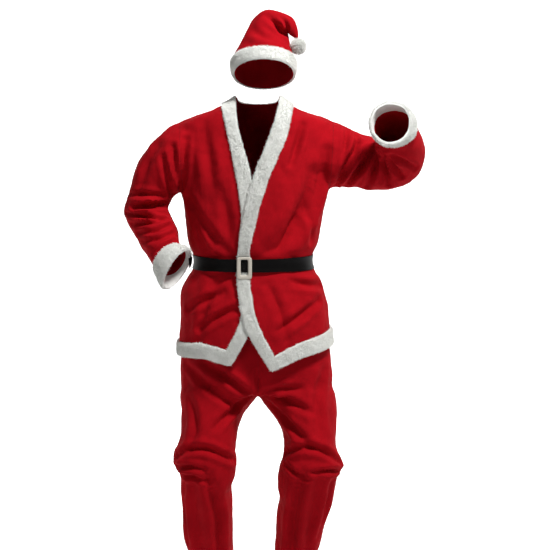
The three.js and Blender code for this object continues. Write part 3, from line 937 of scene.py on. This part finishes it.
def stand_on(tree: bpy.types.GeometryNodeTree, entry: bpy.types.Node, points: bpy.types.NodeSocket,
             way: bpy.types.NodeSocket, item: bpy.types.NodeSocket,
             sizes: tuple[float, float]) -> None:
    """Ends a tree: one item on each point, turned along a direction, then joined and painted.

    Args:
        tree: the geometry tree.
        entry: its input node.
        points: where the items stand.
        way: the direction that each item's length takes.
        item: the item's mesh.
        sizes: smallest and largest size, as shares of its own.
    """
    link, new = tree.links.new, tree.nodes.new
    turn = new("FunctionNodeAlignRotationToVector")
    turn.axis = "Z"
    link(way, turn.inputs["Vector"])
    size = new("FunctionNodeRandomValue")
    size.inputs[2].default_value, size.inputs[3].default_value = sizes
    link(entry.outputs["Seed"], size.inputs["Seed"])
    stand = new("GeometryNodeInstanceOnPoints")
    link(points, stand.inputs["Points"])
    link(item, stand.inputs["Instance"])
    link(turn.outputs["Rotation"], stand.inputs["Rotation"])
    link(size.outputs[1], stand.inputs["Scale"])
    realize = new("GeometryNodeRealizeInstances")
    paint = new("GeometryNodeSetMaterial")
    leave = new("NodeGroupOutput")
    link(stand.outputs[0], realize.inputs[0])
    link(realize.outputs[0], paint.inputs["Geometry"])
    link(entry.outputs["Finish"], paint.inputs["Material"])
    link(paint.outputs[0], leave.inputs[0])


def pile_tree() -> bpy.types.GeometryNodeTree:
    """Tufts that stand on a surface, leaning a little at random.

    Returns:
        The tree.
    """
    tree = node_group("pile", {"Density": 1.0, "Length": 0.003, "Radius": 0.0008, "Seed": SEED})
    link, new = tree.links.new, tree.nodes.new
    entry = new("NodeGroupInput")
    scatter = new("GeometryNodeDistributePointsOnFaces")
    link(entry.outputs["Geometry"], scatter.inputs["Mesh"])
    link(entry.outputs["Density"], scatter.inputs["Density"])
    link(entry.outputs["Seed"], scatter.inputs["Seed"])
    tuft = new("GeometryNodeMeshCone")
    tuft.fill_type = "NONE"
    tuft.inputs["Vertices"].default_value = 3
    tuft.inputs["Radius Top"].default_value = 0
    link(entry.outputs["Radius"], tuft.inputs["Radius Bottom"])
    link(entry.outputs["Length"], tuft.inputs["Depth"])
    lean = new("FunctionNodeRandomValue")
    lean.data_type = "FLOAT_VECTOR"
    lean.inputs[0].default_value = (-0.75, -0.75, -0.75)
    lean.inputs[1].default_value = (0.75, 0.75, 0.75)
    link(entry.outputs["Seed"], lean.inputs["Seed"])
    way = new("ShaderNodeVectorMath")
    link(scatter.outputs["Normal"], way.inputs[0])
    link(lean.outputs[0], way.inputs[1])
    stand_on(tree, entry, scatter.outputs["Points"], way.outputs[0], tuft.outputs["Mesh"], (0.55, 1.35))
    return tree


def stitch_tree() -> bpy.types.GeometryNodeTree:
    """Stitches at even steps along lines.

    Returns:
        The tree.
    """
    tree = node_group("stitches", {"Step": 0.004, "Length": 0.0026, "Radius": 0.00045, "Seed": SEED})
    link, new = tree.links.new, tree.nodes.new
    entry = new("NodeGroupInput")
    curve = new("GeometryNodeMeshToCurve")
    link(entry.outputs["Geometry"], curve.inputs["Mesh"])
    spots = new("GeometryNodeCurveToPoints")
    spots.mode = "LENGTH"
    link(curve.outputs[0], spots.inputs["Curve"])
    link(entry.outputs["Step"], spots.inputs["Length"])
    thread = new("GeometryNodeMeshCylinder")
    thread.inputs["Vertices"].default_value = 5
    link(entry.outputs["Radius"], thread.inputs["Radius"])
    link(entry.outputs["Length"], thread.inputs["Depth"])
    stand_on(tree, entry, spots.outputs["Points"], spots.outputs["Tangent"], thread.outputs["Mesh"],
             (0.85, 1.1))
    return tree


def grown(name: str, base: bpy.types.Mesh, tree: bpy.types.GeometryNodeTree,
          finish: bpy.types.Material, numbers: dict[str, float]) -> bpy.types.Object:
    """What a geometry tree makes from a mesh, as a plain mesh object.

    Args:
        name: name of the new object.
        base: the mesh that it grows on.
        tree: the geometry tree.
        finish: its material.
        numbers: values for the tree's named inputs.

    Returns:
        The new object.
    """
    carrier = bpy.data.objects.new("carrier", base)
    bpy.context.scene.collection.objects.link(carrier)
    modifier = carrier.modifiers.new("grow", "NODES")
    modifier.node_group = tree
    for item in tree.interface.items_tree:
        if item.in_out == "INPUT" and item.name in numbers:
            modifier[item.identifier] = numbers[item.name]
        if item.name == "Finish":
            modifier[item.identifier] = finish
    held = carrier.evaluated_get(bpy.context.evaluated_depsgraph_get())
    mesh = bpy.data.meshes.new_from_object(held)
    bpy.data.objects.remove(carrier)
    mesh.name = name
    obj = bpy.data.objects.new(name, mesh)
    bpy.context.scene.collection.objects.link(obj)
    return obj


# ---------------------------------------------------------------- sub-assemblies
@dataclass(frozen=True)
class Cut:
    """Flat size of a piece before it was sewn: width and length in m, area in square metres."""

    width: float
    length: float
    area: float


def declare(obj: bpy.types.Object, node: str) -> bpy.types.Object:
    """Ties a piece of cloth to its body, names it after its CAD node and hides that node's part.

    Args:
        obj: the object.
        node: the CAD node that it stands for.

    Returns:
        The same object.
    """
    obj.name = node + "_cloth"
    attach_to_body(obj, BODY)
    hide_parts(node)
    return obj


def attach(obj: bpy.types.Object) -> bpy.types.Object:
    """Ties a piece that no CAD node stands for to its body.

    Args:
        obj: the object.

    Returns:
        The same object.
    """
    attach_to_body(obj, BODY)
    return obj


def lap_lift(points: Array) -> Array:
    """How far the left front rides over the right one, mm."""
    over = smooth_step(-points[:, 1], *LAP_DEPTH)
    return LAP_RISE * over * (1 - smooth_step(points[:, 0], *LAP_SIDE))


def belt_hold(z: Array) -> Array:
    """1 under the belt, falling to 0 a little above and below it."""
    middle, half = (BELT_TOP + BELT_BOTTOM) / 2, (BELT_TOP - BELT_BOTTOM) / 2
    return 1 - smooth_step(np.abs(z - middle), half + 2, half + 26)


def pile_lumps(points: Array, seed: int) -> Array:
    """Uneven clumps of a plush surface, mm."""
    return ripple(points, seed, 22, 0.5, 1.0) + ripple(points, seed + 1, 9, 0.35, 1.0)


@dataclass
class Workshop:
    """The finishes and node trees that every sub-assembly shares."""

    felt: bpy.types.Material = field(default_factory=FELT_FINISH.make)
    plush: bpy.types.Material = field(default_factory=PLUSH_FINISH.make)
    belt: bpy.types.Material = field(default_factory=BELT_FINISH.make)
    plastic: bpy.types.Material = field(default_factory=PLASTIC_FINISH.make)
    thread: bpy.types.Material = field(default_factory=THREAD_FINISH.make)
    pile: bpy.types.GeometryNodeTree = field(default_factory=pile_tree)
    stitches: bpy.types.GeometryNodeTree = field(default_factory=stitch_tree)
    pile_density: float = 240000.0
    pile_length: float = 0.0042

    def fluffy(self, name: str, skin: Cloth, low: Array | float, high: Array | float,
               slot: str = "white_plush") -> bpy.types.Object:
        """A plush wall and the pile that stands on its outside.

        Args:
            name: its name.
            skin: the skin.
            low: where the inner face lies, mm.
            high: where the outer face lies, mm.
            slot: not used.

        Returns:
            The wall, without its pile.
        """
        body = made(name, thick(skin, low, high), self.plush)
        outside = made("outside", skin.moved(np.broadcast_to(high, len(skin.points))), self.plush)
        tufts = grown(name + "_pile", outside.data, self.pile, self.plush, {
            "Density": self.pile_density, "Length": self.pile_length,
        })
        bpy.data.objects.remove(outside)
        attach(tufts)
        return body

    def sewn(self, name: str, lines: Sequence[Array], slot: str) -> bpy.types.Object:
        """Stitches along lines of points, mm.

        Args:
            name: its name.
            lines: arrays of points, mm.
            slot: not used.

        Returns:
            The stitches.
        """
        points, edges = [], []
        for line in lines:
            edges += [(len(points) + k, len(points) + k + 1) for k in range(len(line) - 1)]
            points += (line * MM).tolist()
        mesh = bpy.data.meshes.new("lines")
        mesh.from_pydata(points, edges, [])
        return attach(grown(name, mesh, self.stitches, self.thread, {}))


def trace(cloth: Cloth, line: Outline, side: Side, lift: float, step: float = 6) -> list[Array]:
    """A front-view line laid on the cloth, in unbroken stretches.

    Args:
        cloth: the skin.
        line: points (x, z), mm.
        side: the face to lay it on.
        lift: how far off the skin it runs, mm.
        step: distance between its points, mm.

    Returns:
        Arrays of points, mm.
    """
    tree = BVHTree.FromPolygons(cloth.points.tolist(), cloth.faces.tolist())
    path = np.array(line, float)
    run = np.concatenate([[0], np.cumsum(np.linalg.norm(np.diff(path, axis=0), axis=1))])
    at = np.linspace(0, run[-1], max(int(run[-1] / step), 2))
    stretches, now = [], []
    for x, z in zip(np.interp(at, run, path[:, 0]), np.interp(at, run, path[:, 1])):
        start = (float(x), 1000.0 * side.value, float(z))
        spot, normal, _, _ = tree.ray_cast(start, (0, -side.value, 0))
        if spot is None:
            if len(now) > 2:
                stretches.append(np.array(now))
            now = []
            continue
        way = np.array(normal)
        now.append(np.array(spot) + way * lift * (1 if way[1] * side.value > 0 else -1))
    if len(now) > 2:
        stretches.append(np.array(now))
    return stretches


def shifted(line: Outline, dx: float, dz: float) -> Outline:
    """The line moved across by dx and up by dz, mm."""
    return [(x + dx, z + dz) for x, z in line]


def end_plane(rows: Sequence[Sequence[float]], index: int) -> tuple[Array, Array]:
    """Middle and direction of a tube's section.

    Args:
        rows: the table of sections.
        index: which section.

    Returns:
        The middle, mm, and a unit direction.
    """
    table = np.array(rows, float)
    a, b = table[index, 0:3], table[index, 3:6]
    run = (table[index, 0:3] + table[index, 3:6] - table[index - 1, 0:3] - table[index - 1, 3:6]) / 2
    across = (a - b) / np.linalg.norm(a - b)
    run -= across * (run @ across)
    return (a + b) / 2, run / np.linalg.norm(run)


@dataclass
class Jacket:
    """Jacket: two fronts, back, sleeves, and the plush on every edge.

    Args:
        shop: shared finishes and trees.
        trim: thickness of the plush where nothing presses it, mm.
        edge: radius of the plush's rounded edge, mm.
    """

    shop: Workshop
    trim: float = 4.6
    edge: float = 4.5

    def build(self) -> Cloth:
        """Makes the jacket's pieces.

        Returns:
            The skin that they were cut from.
        """
        torso = level_rings(JACKET_ROWS)
        sleeves = [tube_rings(SLEEVE_RIGHT_ROWS), tube_rings(SLEEVE_LEFT_ROWS)]
        skin = joined_form([torso, *sleeves], VOXEL, 6)
        free = 1 - belt_hold(skin.points[:, 2])
        move = lay_folds(skin, JACKET_FOLDS) + ripple(skin.points, SEED, 62, 1.5, 2.0)
        move += ripple(skin.points, SEED + 5, 24, 0.45, 1.5)
        skin = skin.moved(skin.smoothed(move * free, 1))
        points = skin.points
        x, y, z = points.T
        torso_tree = BVHTree.FromPolygons(*self.closed(torso))
        sleeve_tree = BVHTree.FromPolygons(*self.closed(sleeves[0]))
        gap = np.array([
            sleeve_tree.find_nearest(p)[3] - torso_tree.find_nearest(p)[3] for p in points.tolist()
        ])
        nearness = skin.smoothed(gap, 4)
        right_line, left_line = across_at(z, ARMHOLE_RIGHT), across_at(z, ARMHOLE_LEFT)
        right = np.minimum(
            np.maximum(x - right_line, ARMPIT_RIGHT - ARMPIT_LAP - z),
            np.maximum(np.maximum(nearness, z - ARMPIT_RIGHT - ARMPIT_LAP / 2), x + 190),
        )
        left = np.maximum(left_line - x, ARMPIT_LEFT - ARMPIT_LAP / 2 - z)
        skin.fields = {"right": right, "left": left}
        self.sleeve(skin, "right", SLEEVE_RIGHT_ROWS)
        self.sleeve(skin, "left", SLEEVE_LEFT_ROWS)
        body = skin.clipped(-np.minimum(right, left))
        front = body.clipped(body.points[:, 1])
        back = body.clipped(-body.points[:, 1])
        self.fronts(front)
        self.back(back)
        self.seams(body, front, back)
        return skin

    @staticmethod
    def closed(rings: Array) -> tuple[list, list]:
        """Points and faces of a closed ring form."""
        return rings.reshape(-1, 3).tolist(), ring_faces(*rings.shape[:2])

    def sleeve(self, skin: Cloth, side: str, rows: Sequence[Sequence[float]]) -> None:
        """One sleeve and its cuff.

        Args:
            skin: the skin.
            side: left or right.
            rows: the table of sections.
        """
        whole = skin.clipped(skin.fields[side])
        cuff_at, cuff_way = end_plane(rows, len(rows) - 3)
        end_at, end_way = end_plane(rows, len(rows) - 2)
        near = np.linalg.norm(whole.points - CUFF_SPOTS[side], axis=1) < CUFF_REACH
        to_cuff = np.where(near, (whole.points - cuff_at) @ cuff_way, -200)
        felt = whole.clipped(to_cuff - 3)
        declare(made("sleeve_" + side, thick(felt, -FELT, 0), self.shop.felt),
                "sleeve_" + side)
        ring = whole.clipped(-to_cuff)
        ring = ring.clipped((ring.points - end_at) @ end_way)
        ring = subdivided(ring)
        inner = (ring.points - cuff_at) @ cuff_way
        outer = -((ring.points - end_at) @ end_way)
        puff = self.round_edge(np.minimum(inner, outer), self.trim + 1)
        puff += pile_lumps(ring.points, SEED + 11) * smooth_step(puff, 0, 4)
        name = "cuff_trim_" + side
        obj = self.shop.fluffy(name, ring, -2.5, GAP + BAND_WALL + puff)
        declare(obj, name)
        LOG.info("%s: felt %.3f m2, cuff %.4f m2", side, area_of(felt), area_of(ring))

    def round_edge(self, inside: Array, full: Array | float) -> Array:
        """Height of a plush trim by its distance inside the trim's edge, mm."""
        share = np.clip(inside / self.edge, 0, 1)
        return full * np.sqrt(1 - (1 - share) ** 2)

    def trimmed(self, panel: Cloth, name: str, edge: Outline, line: Outline, lift: bool,
                seed: int) -> None:
        """A plush trim between an edge and a sewn line.

        Args:
            panel: the skin that it lies on.
            name: its node.
            edge: the cloth's free edge.
            line: the line that its other side is sewn along.
            lift: whether it rides with the left front.
            seed: start of its random draws.
        """
        outline = list(edge) + list(line)[::-1]
        strip = panel.clipped(outline_field(panel.points, outline))
        strip = subdivided(strip)
        x, _, z = strip.points.T
        inside = np.minimum(line_distance(x, z, edge), line_distance(x, z, line))
        under = smooth_step(-outline_field(strip.points, self.left_outline()), -8, 6)
        under = np.zeros(len(x)) if lift else under
        full = self.trim + (PLUSH - BAND_WALL - self.trim) * np.maximum(under, belt_hold(z))
        puff = self.round_edge(inside, full)
        lumps = pile_lumps(strip.points, seed) * smooth_step(full, 3, 6) * smooth_step(puff, 0, 4)
        base = (lap_lift(strip.points) if lift else 0) + GAP
        obj = self.shop.fluffy(name, strip, base, base + BAND_WALL + puff + lumps)
        declare(obj, name)
        LOG.info("%s %.4f m2", name, area_of(strip))

    @staticmethod
    def left_outline() -> Outline:
        """Outline of the left front in the front view."""
        return rounded(LEFT_FREE_EDGE) + LEFT_HEM[1:] + [(SIDE_LIMIT, TOP_LIMIT)]

    def fronts(self, front: Cloth) -> None:
        """Both fronts with their bands and hem trims.

        Args:
            front: the front half of the skin.
        """
        left_edge, left_line = rounded(LEFT_FREE_EDGE), rounded(LEFT_BAND_LINE)
        right_edge, right_line = rounded(RIGHT_FREE_EDGE), rounded(RIGHT_BAND_LINE)
        right_outline = right_edge + RIGHT_HEM[1:] + [(-SIDE_LIMIT, TOP_LIMIT)]
        left = front.clipped(outline_field(front.points, self.left_outline()))
        right = front.clipped(outline_field(front.points, right_outline))
        lap = lap_lift(left.points)
        declare(made("jacket_front_left", thick(left, lap - FELT, lap), self.shop.felt),
                "jacket_front_left")
        declare(made("jacket_front_right", thick(right, -FELT, 0), self.shop.felt),
                "jacket_front_right")
        LOG.info("fronts %.3f %.3f m2", area_of(left), area_of(right))
        self.trimmed(front, "front_band_left", left_edge, left_line, True, SEED + 20)
        self.trimmed(front, "front_band_right", right_edge, right_line, False, SEED + 22)
        self.trimmed(front, "hem_trim_left", LEFT_HEM, LEFT_HEM_LINE, True, SEED + 24)
        self.trimmed(front, "hem_trim_right", RIGHT_HEM, RIGHT_HEM_LINE, False, SEED + 26)

    def back(self, back: Cloth) -> None:
        """The back with its neck band and hem trim.

        Args:
            back: the back half of the skin.
        """
        outline = rounded(BACK_NECK) + [(SIDE_LIMIT, TOP_LIMIT)] + BACK_HEM[::-1]
        outline += [(-SIDE_LIMIT, TOP_LIMIT)]
        panel = back.clipped(outline_field(back.points, outline))
        declare(made("jacket_back", thick(panel, -FELT, 0), self.shop.felt),
                "jacket_back")
        LOG.info("back %.3f m2", area_of(panel))
        self.trimmed(back, "neck_band_back", rounded(BACK_NECK), rounded(BACK_NECK_LINE), False,
                     SEED + 28)
        self.trimmed(back, "hem_trim_back", BACK_HEM, BACK_HEM_LINE, False, SEED + 30)

    def seams(self, body: Cloth, front: Cloth, back: Cloth) -> None:
        """Stitches beside the armholes and along the trims.

        Args:
            body: the skin without its sleeves; not used.
            front: the front half of the skin.
            back: the back half of the skin.
        """
        lifted = front.moved(lap_lift(front.points))
        lines = trace(lifted, shifted(rounded(LEFT_BAND_LINE), 2.5, 0), Side.FRONT, STITCH_LIFT)
        lines += trace(lifted, shifted(LEFT_HEM_LINE, 0, 2.5), Side.FRONT, STITCH_LIFT)
        lines += trace(front, shifted(rounded(RIGHT_BAND_LINE), -2.5, 0), Side.FRONT, STITCH_LIFT)
        lines += trace(front, shifted(RIGHT_HEM_LINE, 0, 2.5), Side.FRONT, STITCH_LIFT)
        lines += trace(back, shifted(BACK_HEM_LINE, 0, 2.5), Side.BACK, STITCH_LIFT)
        for side, skin in ((Side.FRONT, front), (Side.BACK, back)):
            lines += trace(skin, shifted(ARMHOLE_RIGHT, 5, 0), side, STITCH_LIFT)
            lines += trace(skin, shifted(ARMHOLE_LEFT, -5, 0), side, STITCH_LIFT)
        self.shop.sewn("jacket_stitches", lines, "red_felt")


@dataclass
class Belt:
    """Belt and its buckle.

    Args:
        shop: shared finishes and trees.
        skin: the jacket's skin.
        x, z: middle of the buckle, mm.
        width, height, depth: size of the buckle, mm.
        window_width, window_height, window_z: its window, mm.
    """

    shop: Workshop
    skin: Cloth
    x: float = -38.0
    z: float = -472.5
    width: float = 45.0
    height: float = 66.0
    depth: float = 5.0
    window_width: float = 21.0
    window_height: float = 46.0
    window_z: float = -470.0

    def build(self) -> None:
        """Makes the strap, then the buckle on its front."""
        points = self.skin.points
        middle, half = (BELT_TOP + BELT_BOTTOM) / 2, (BELT_TOP - BELT_BOTTOM) / 2
        inside = np.maximum(np.abs(points[:, 2] - middle) - half, np.abs(points[:, 0]) - 205)
        strap = self.skin.clipped(inside)
        front = smooth_step(-strap.points[:, 1], *BELT_DEPTH)
        x = strap.points[:, 0]
        over = smooth_step(x, *BELT_RIGHT) * (1 - smooth_step(x, *BELT_LEFT))
        lift = GAP + 0.5 + (LAP_RISE + PLUSH + 0.8) * front * over
        strap = strap.moved(lift)
        strap.points = strap.smoothed(strap.points, 3)
        near_edge = half - np.abs(strap.points[:, 2] - middle)
        bevel = 0.6 * (1 - smooth_step(near_edge, 0, 3))
        declare(made("belt", thick(strap, 0, BELT_WALL - bevel), self.shop.belt),
                "belt")
        LOG.info("belt %.4f m2", area_of(strap))
        close = np.abs(strap.points[:, 0] - self.x) < self.width / 2
        close &= strap.points[:, 1] < 0
        self.buckle(strap.points[close, 1].min() - BELT_WALL - GAP)

    def buckle(self, y: float) -> None:
        """A frame with rounded bars, its back at y.

        Args:
            y: where its back lies, mm.
        """
        around, across = 96, 9
        loop = np.column_stack(oval(around, FRAME_SQUARENESS))
        outer = loop * [self.width / 2, self.height / 2] + [self.x, self.z]
        inner = loop * [self.window_width / 2, self.window_height / 2] + [self.x, self.window_z]
        rings = []
        for t in np.linspace(0, 1, across):
            flat = outer * (1 - t) + inner * t
            height = self.depth * (0.25 + 0.75 * math.sqrt(max(1 - (2 * t - 1) ** 4, 0)))
            rings.append(np.column_stack([flat[:, 0], np.full(around, y - height), flat[:, 1]]))
        for line in (inner, outer):
            rings.append(np.column_stack([line[:, 0], np.full(around, y), line[:, 1]]))
        total = len(rings)
        faces = []
        for i in range(total):
            for k in range(around):
                j, n = (i + 1) % total, (k + 1) % around
                faces.append((i * around + k, i * around + n, j * around + n))
                faces.append((i * around + k, j * around + n, j * around + k))
        frame_mesh = Cloth(np.vstack(rings), np.array(faces))
        if signed_volume(frame_mesh) < 0:
            frame_mesh.faces = frame_mesh.faces[:, ::-1]
        obj = attach(made("belt_buckle_frame", frame_mesh, self.shop.plastic))
        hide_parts("belt_buckle")


@dataclass
class Trousers:
    """Trousers of four panels, gathered at the knees.

    Args:
        shop: shared finishes and trees.
        waist: height where they are cut off at the top, mm.
        hem: height of the leg ends, mm.
    """

    shop: Workshop
    waist: float = -466.0
    hem: float = -1481.0

    def build(self) -> None:
        """Makes the four panels and their stitches."""
        forms = [level_rings(HIP_ROWS), tube_rings(LEG_RIGHT_ROWS), tube_rings(LEG_LEFT_ROWS)]
        skin = joined_form(forms, VOXEL, 5)
        free = smooth_step(-skin.points[:, 2], 720, 790)
        move = lay_folds(skin, TROUSER_FOLDS) + ripple(skin.points, SEED + 40, 66, 1.7, 2.4)
        move += ripple(skin.points, SEED + 41, 26, 0.5, 1.6)
        skin = skin.moved(skin.smoothed(move * free, 1))
        skin = skin.clipped(skin.points[:, 2] - self.waist)
        skin = skin.clipped(self.hem - skin.points[:, 2])
        seam = across_at(skin.points[:, 2], TROUSER_SEAM)
        skin.fields = {"depth": skin.points[:, 1] - seam}
        for side, way in (("left", -1), ("right", 1)):
            half = skin.clipped(way * skin.points[:, 0])
            for face, turn in (("front", 1), ("back", -1)):
                panel = half.clipped(turn * half.fields["depth"])
                name = f"trouser_{face}_{side}"
                declare(made(name, thick(panel, -FELT, 0), self.shop.felt), name)
                LOG.info("%s %.3f m2", name, area_of(panel))
        hems = [(-210, self.hem + 9), (-70, self.hem + 9)]
        lines = []
        for side in (Side.FRONT, Side.BACK):
            lines += trace(skin, hems, side, STITCH_LIFT)
            lines += trace(skin, [(40, self.hem + 9), (170, self.hem + 9)], side, STITCH_LIFT)
            lines += trace(skin, [(2, -700), (2, -868)], side, STITCH_LIFT)
        self.shop.sewn("trouser_stitches", lines, "red_felt")


@dataclass
class Hat:
    """Hat: crown that flops over, brim and pompom.

    Args:
        shop: shared finishes and trees.
        brim: how far the brim's plush stands out, mm.
        pompom: middle of the pompom, mm.
        radius: its radius, mm.
    """

    shop: Workshop
    brim: float = 5.5
    pompom: tuple[float, float, float] = (121.0, -26.0, 178.0)
    radius: float = 23.0

    def build(self) -> None:
        """Makes the crown, the brim and the pompom."""
        rings = tube_rings(HAT_ROWS, 96)
        crown = self.open_tube(rings)
        move = lay_folds(crown, HAT_FOLDS) + ripple(crown.points, SEED + 50, 46, 1.6, 1.0)
        crown = crown.moved(crown.smoothed(move, 2))
        declare(made("hat_crown", thick(crown, -FELT, 0), self.shop.felt),
                "hat_crown")
        LOG.info("crown %.4f m2", area_of(crown))
        low, high = tube_rings(HAT_ROWS[:2], 96)[0], tube_rings(HAT_ROWS[:2], 96)[-1]
        steps = [low * (1 - t) + high * t for t in np.linspace(-0.06, 1.1, 16)]
        band = self.open_tube(np.array(steps), closed_tip=False)
        share = np.repeat(np.linspace(0, 1, 16), 96)
        puff = self.brim * np.sqrt(np.clip(1 - (2 * share - 1) ** 4, 0, 1))
        puff += pile_lumps(band.points, SEED + 52) * np.sin(math.pi * share)
        obj = self.shop.fluffy("hat_brim", band, GAP, GAP + 1.0 + puff)
        declare(obj, "hat_brim")
        LOG.info("brim %.4f m2", area_of(band))
        self.ball()

    @staticmethod
    def open_tube(rings: Array, closed_tip: bool = True) -> Cloth:
        """Triangles of a tube that is open at its first ring.

        Args:
            rings: an array of rings.
            closed_tip: whether the last ring is closed.

        Returns:
            The tube.
        """
        rows, columns = rings.shape[:2]
        faces = []
        for face in ring_faces(rows, columns)[:-2]:
            a, b, c, d = face
            faces += [(a, b, c), (a, c, d)]
        points = rings.reshape(-1, 3)
        if closed_tip:
            tip = len(points)
            points = np.vstack([points, rings[-1].mean(axis=0)])
            last = (rows - 1) * columns
            faces += [(last + k, last + (k + 1) % columns, tip) for k in range(columns)]
        tube = Cloth(points, np.array(faces))
        middle = tube.points.mean(axis=0)
        if ((tube.points - middle) * tube.normals()).sum() < 0:
            tube.faces = tube.faces[:, ::-1]
        return tube

    def ball(self) -> None:
        """The pompom."""
        rings = []
        for t in np.linspace(0.04, math.pi - 0.04, 30):
            angle = np.linspace(0, 2 * math.pi, 48, endpoint=False)
            ring = np.column_stack([
                np.sin(t) * np.cos(angle), np.sin(t) * np.sin(angle), np.full(48, np.cos(t)),
            ])
            rings.append(ring * (self.radius - 3) + self.pompom)
        faces = []
        for face in ring_faces(30, 48):
            faces += [(face[0], face[k], face[k + 1]) for k in range(1, len(face) - 1)]
        ball = Cloth(np.vstack(rings), np.array(faces))
        if signed_volume(ball) < 0:
            ball.faces = ball.faces[:, ::-1]
        ball = ball.moved(1.4 * pile_lumps(ball.points, SEED + 60))
        body = attach(made("hat_pompom_ball", ball, self.shop.plush))
        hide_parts("hat_pompom")
        attach(grown("hat_pompom_pile", body.data, self.shop.pile, self.shop.plush, {
            "Density": 600000.0, "Length": 0.007, "Radius": 0.0007,
        }))


@dataclass
class Studio:
    """Floor, lights and camera.

    Args:
        floor: height of the floor, mm.
        eye: where the camera stands, m.
        tilt: how far it looks down, degrees.
        lens: focal length, mm.
    """

    floor: float = -1530.0
    eye: tuple[float, float, float] = (0.052, -4.0, -0.06)
    tilt: float = 6.405
    lens: float = 86.38

    def build(self) -> None:
        """Makes the studio round the suit."""
        sweep = [(-9, 0.0), (2.2, 0.0), (2.9, 0.12), (3.4, 0.55), (3.6, 1.2), (3.6, 7.0)]
        points, faces = [], []
        for y, z in sweep:
            points += [(-9, y, z + self.floor * MM), (9, y, z + self.floor * MM)]
        for i in range(len(sweep) - 1):
            faces.append((2 * i, 2 * i + 1, 2 * i + 3, 2 * i + 2))
        mesh = bpy.data.meshes.new("backdrop")
        mesh.from_pydata(points, [], faces)
        material = Finish("paper", (0.80, 0.80, 0.80), (0.84, 0.84, 0.84), 0.9, blotch=2, grain=40,
                          relief=0.0001).make()
        shader = material.node_tree.nodes["Principled BSDF"]
        shader.inputs["Emission Color"].default_value = (1, 1, 1, 1)
        tree = material.node_tree
        place = tree.nodes.new("ShaderNodeTexCoord")
        parts = tree.nodes.new("ShaderNodeSeparateXYZ")
        glow = tree.nodes.new("ShaderNodeMapRange")
        glow.inputs["From Min"].default_value = 0.0
        glow.inputs["From Max"].default_value = 0.1
        tree.links.new(place.outputs["Object"], parts.inputs[0])
        tree.links.new(parts.outputs["Y"], glow.inputs["Value"])
        tree.links.new(glow.outputs[0], shader.inputs["Emission Strength"])
        mesh.materials.append(material)
        backdrop = bpy.data.objects.new("backdrop", mesh)
        bpy.context.scene.collection.objects.link(backdrop)
        world = bpy.data.worlds.new("studio")
        world.use_nodes = True
        world.node_tree.nodes["Background"].inputs["Color"].default_value = (1, 1, 1, 1)
        world.node_tree.nodes["Background"].inputs["Strength"].default_value = 0.09
        bpy.context.scene.world = world
        bpy.context.scene.view_settings.view_transform = "Standard"
        self.light("key", (1.15, -1.35, 2.2), (0.05, 0, -0.4), 0.5, 118)
        self.light("fill", (-1.8, -3.0, 1.0), (0, 0, -0.3), 1.2, 9)
        camera = bpy.data.cameras.new("camera")
        camera.lens = self.lens
        camera.sensor_width = 36
        holder = bpy.data.objects.new("camera", camera)
        holder.location = self.eye
        holder.rotation_euler = (math.radians(90 - self.tilt), 0, 0)
        bpy.context.scene.collection.objects.link(holder)
        bpy.context.scene.camera = holder

    @staticmethod
    def light(name: str, at: tuple[float, float, float], to: tuple[float, float, float],
              size: float, power: float) -> None:
        """A square soft light.

        Args:
            name: the light's name.
            at: where it stands, m.
            to: what it points at, m.
            size: its side, m.
            power: its power, W.
        """
        lamp = bpy.data.lights.new(name, "AREA")
        lamp.size = size
        lamp.energy = power
        holder = bpy.data.objects.new(name, lamp)
        holder.location = at
        holder.rotation_euler = (Vector(to) - Vector(at)).to_track_quat("-Z", "Y").to_euler()
        bpy.context.scene.collection.objects.link(holder)


def main() -> None:
    """Builds the suit and its studio, in order."""
    logging.basicConfig(level=logging.INFO, format="%(message)s")
    shop = Workshop()
    skin = Jacket(shop).build()
    LOG.info("jacket built")
    Belt(shop, skin).build()
    LOG.info("belt built")
    Trousers(shop).build()
    LOG.info("trousers built")
    Hat(shop).build()
    LOG.info("hat built")
    Studio().build()


if __name__ == "__main__":
    main()
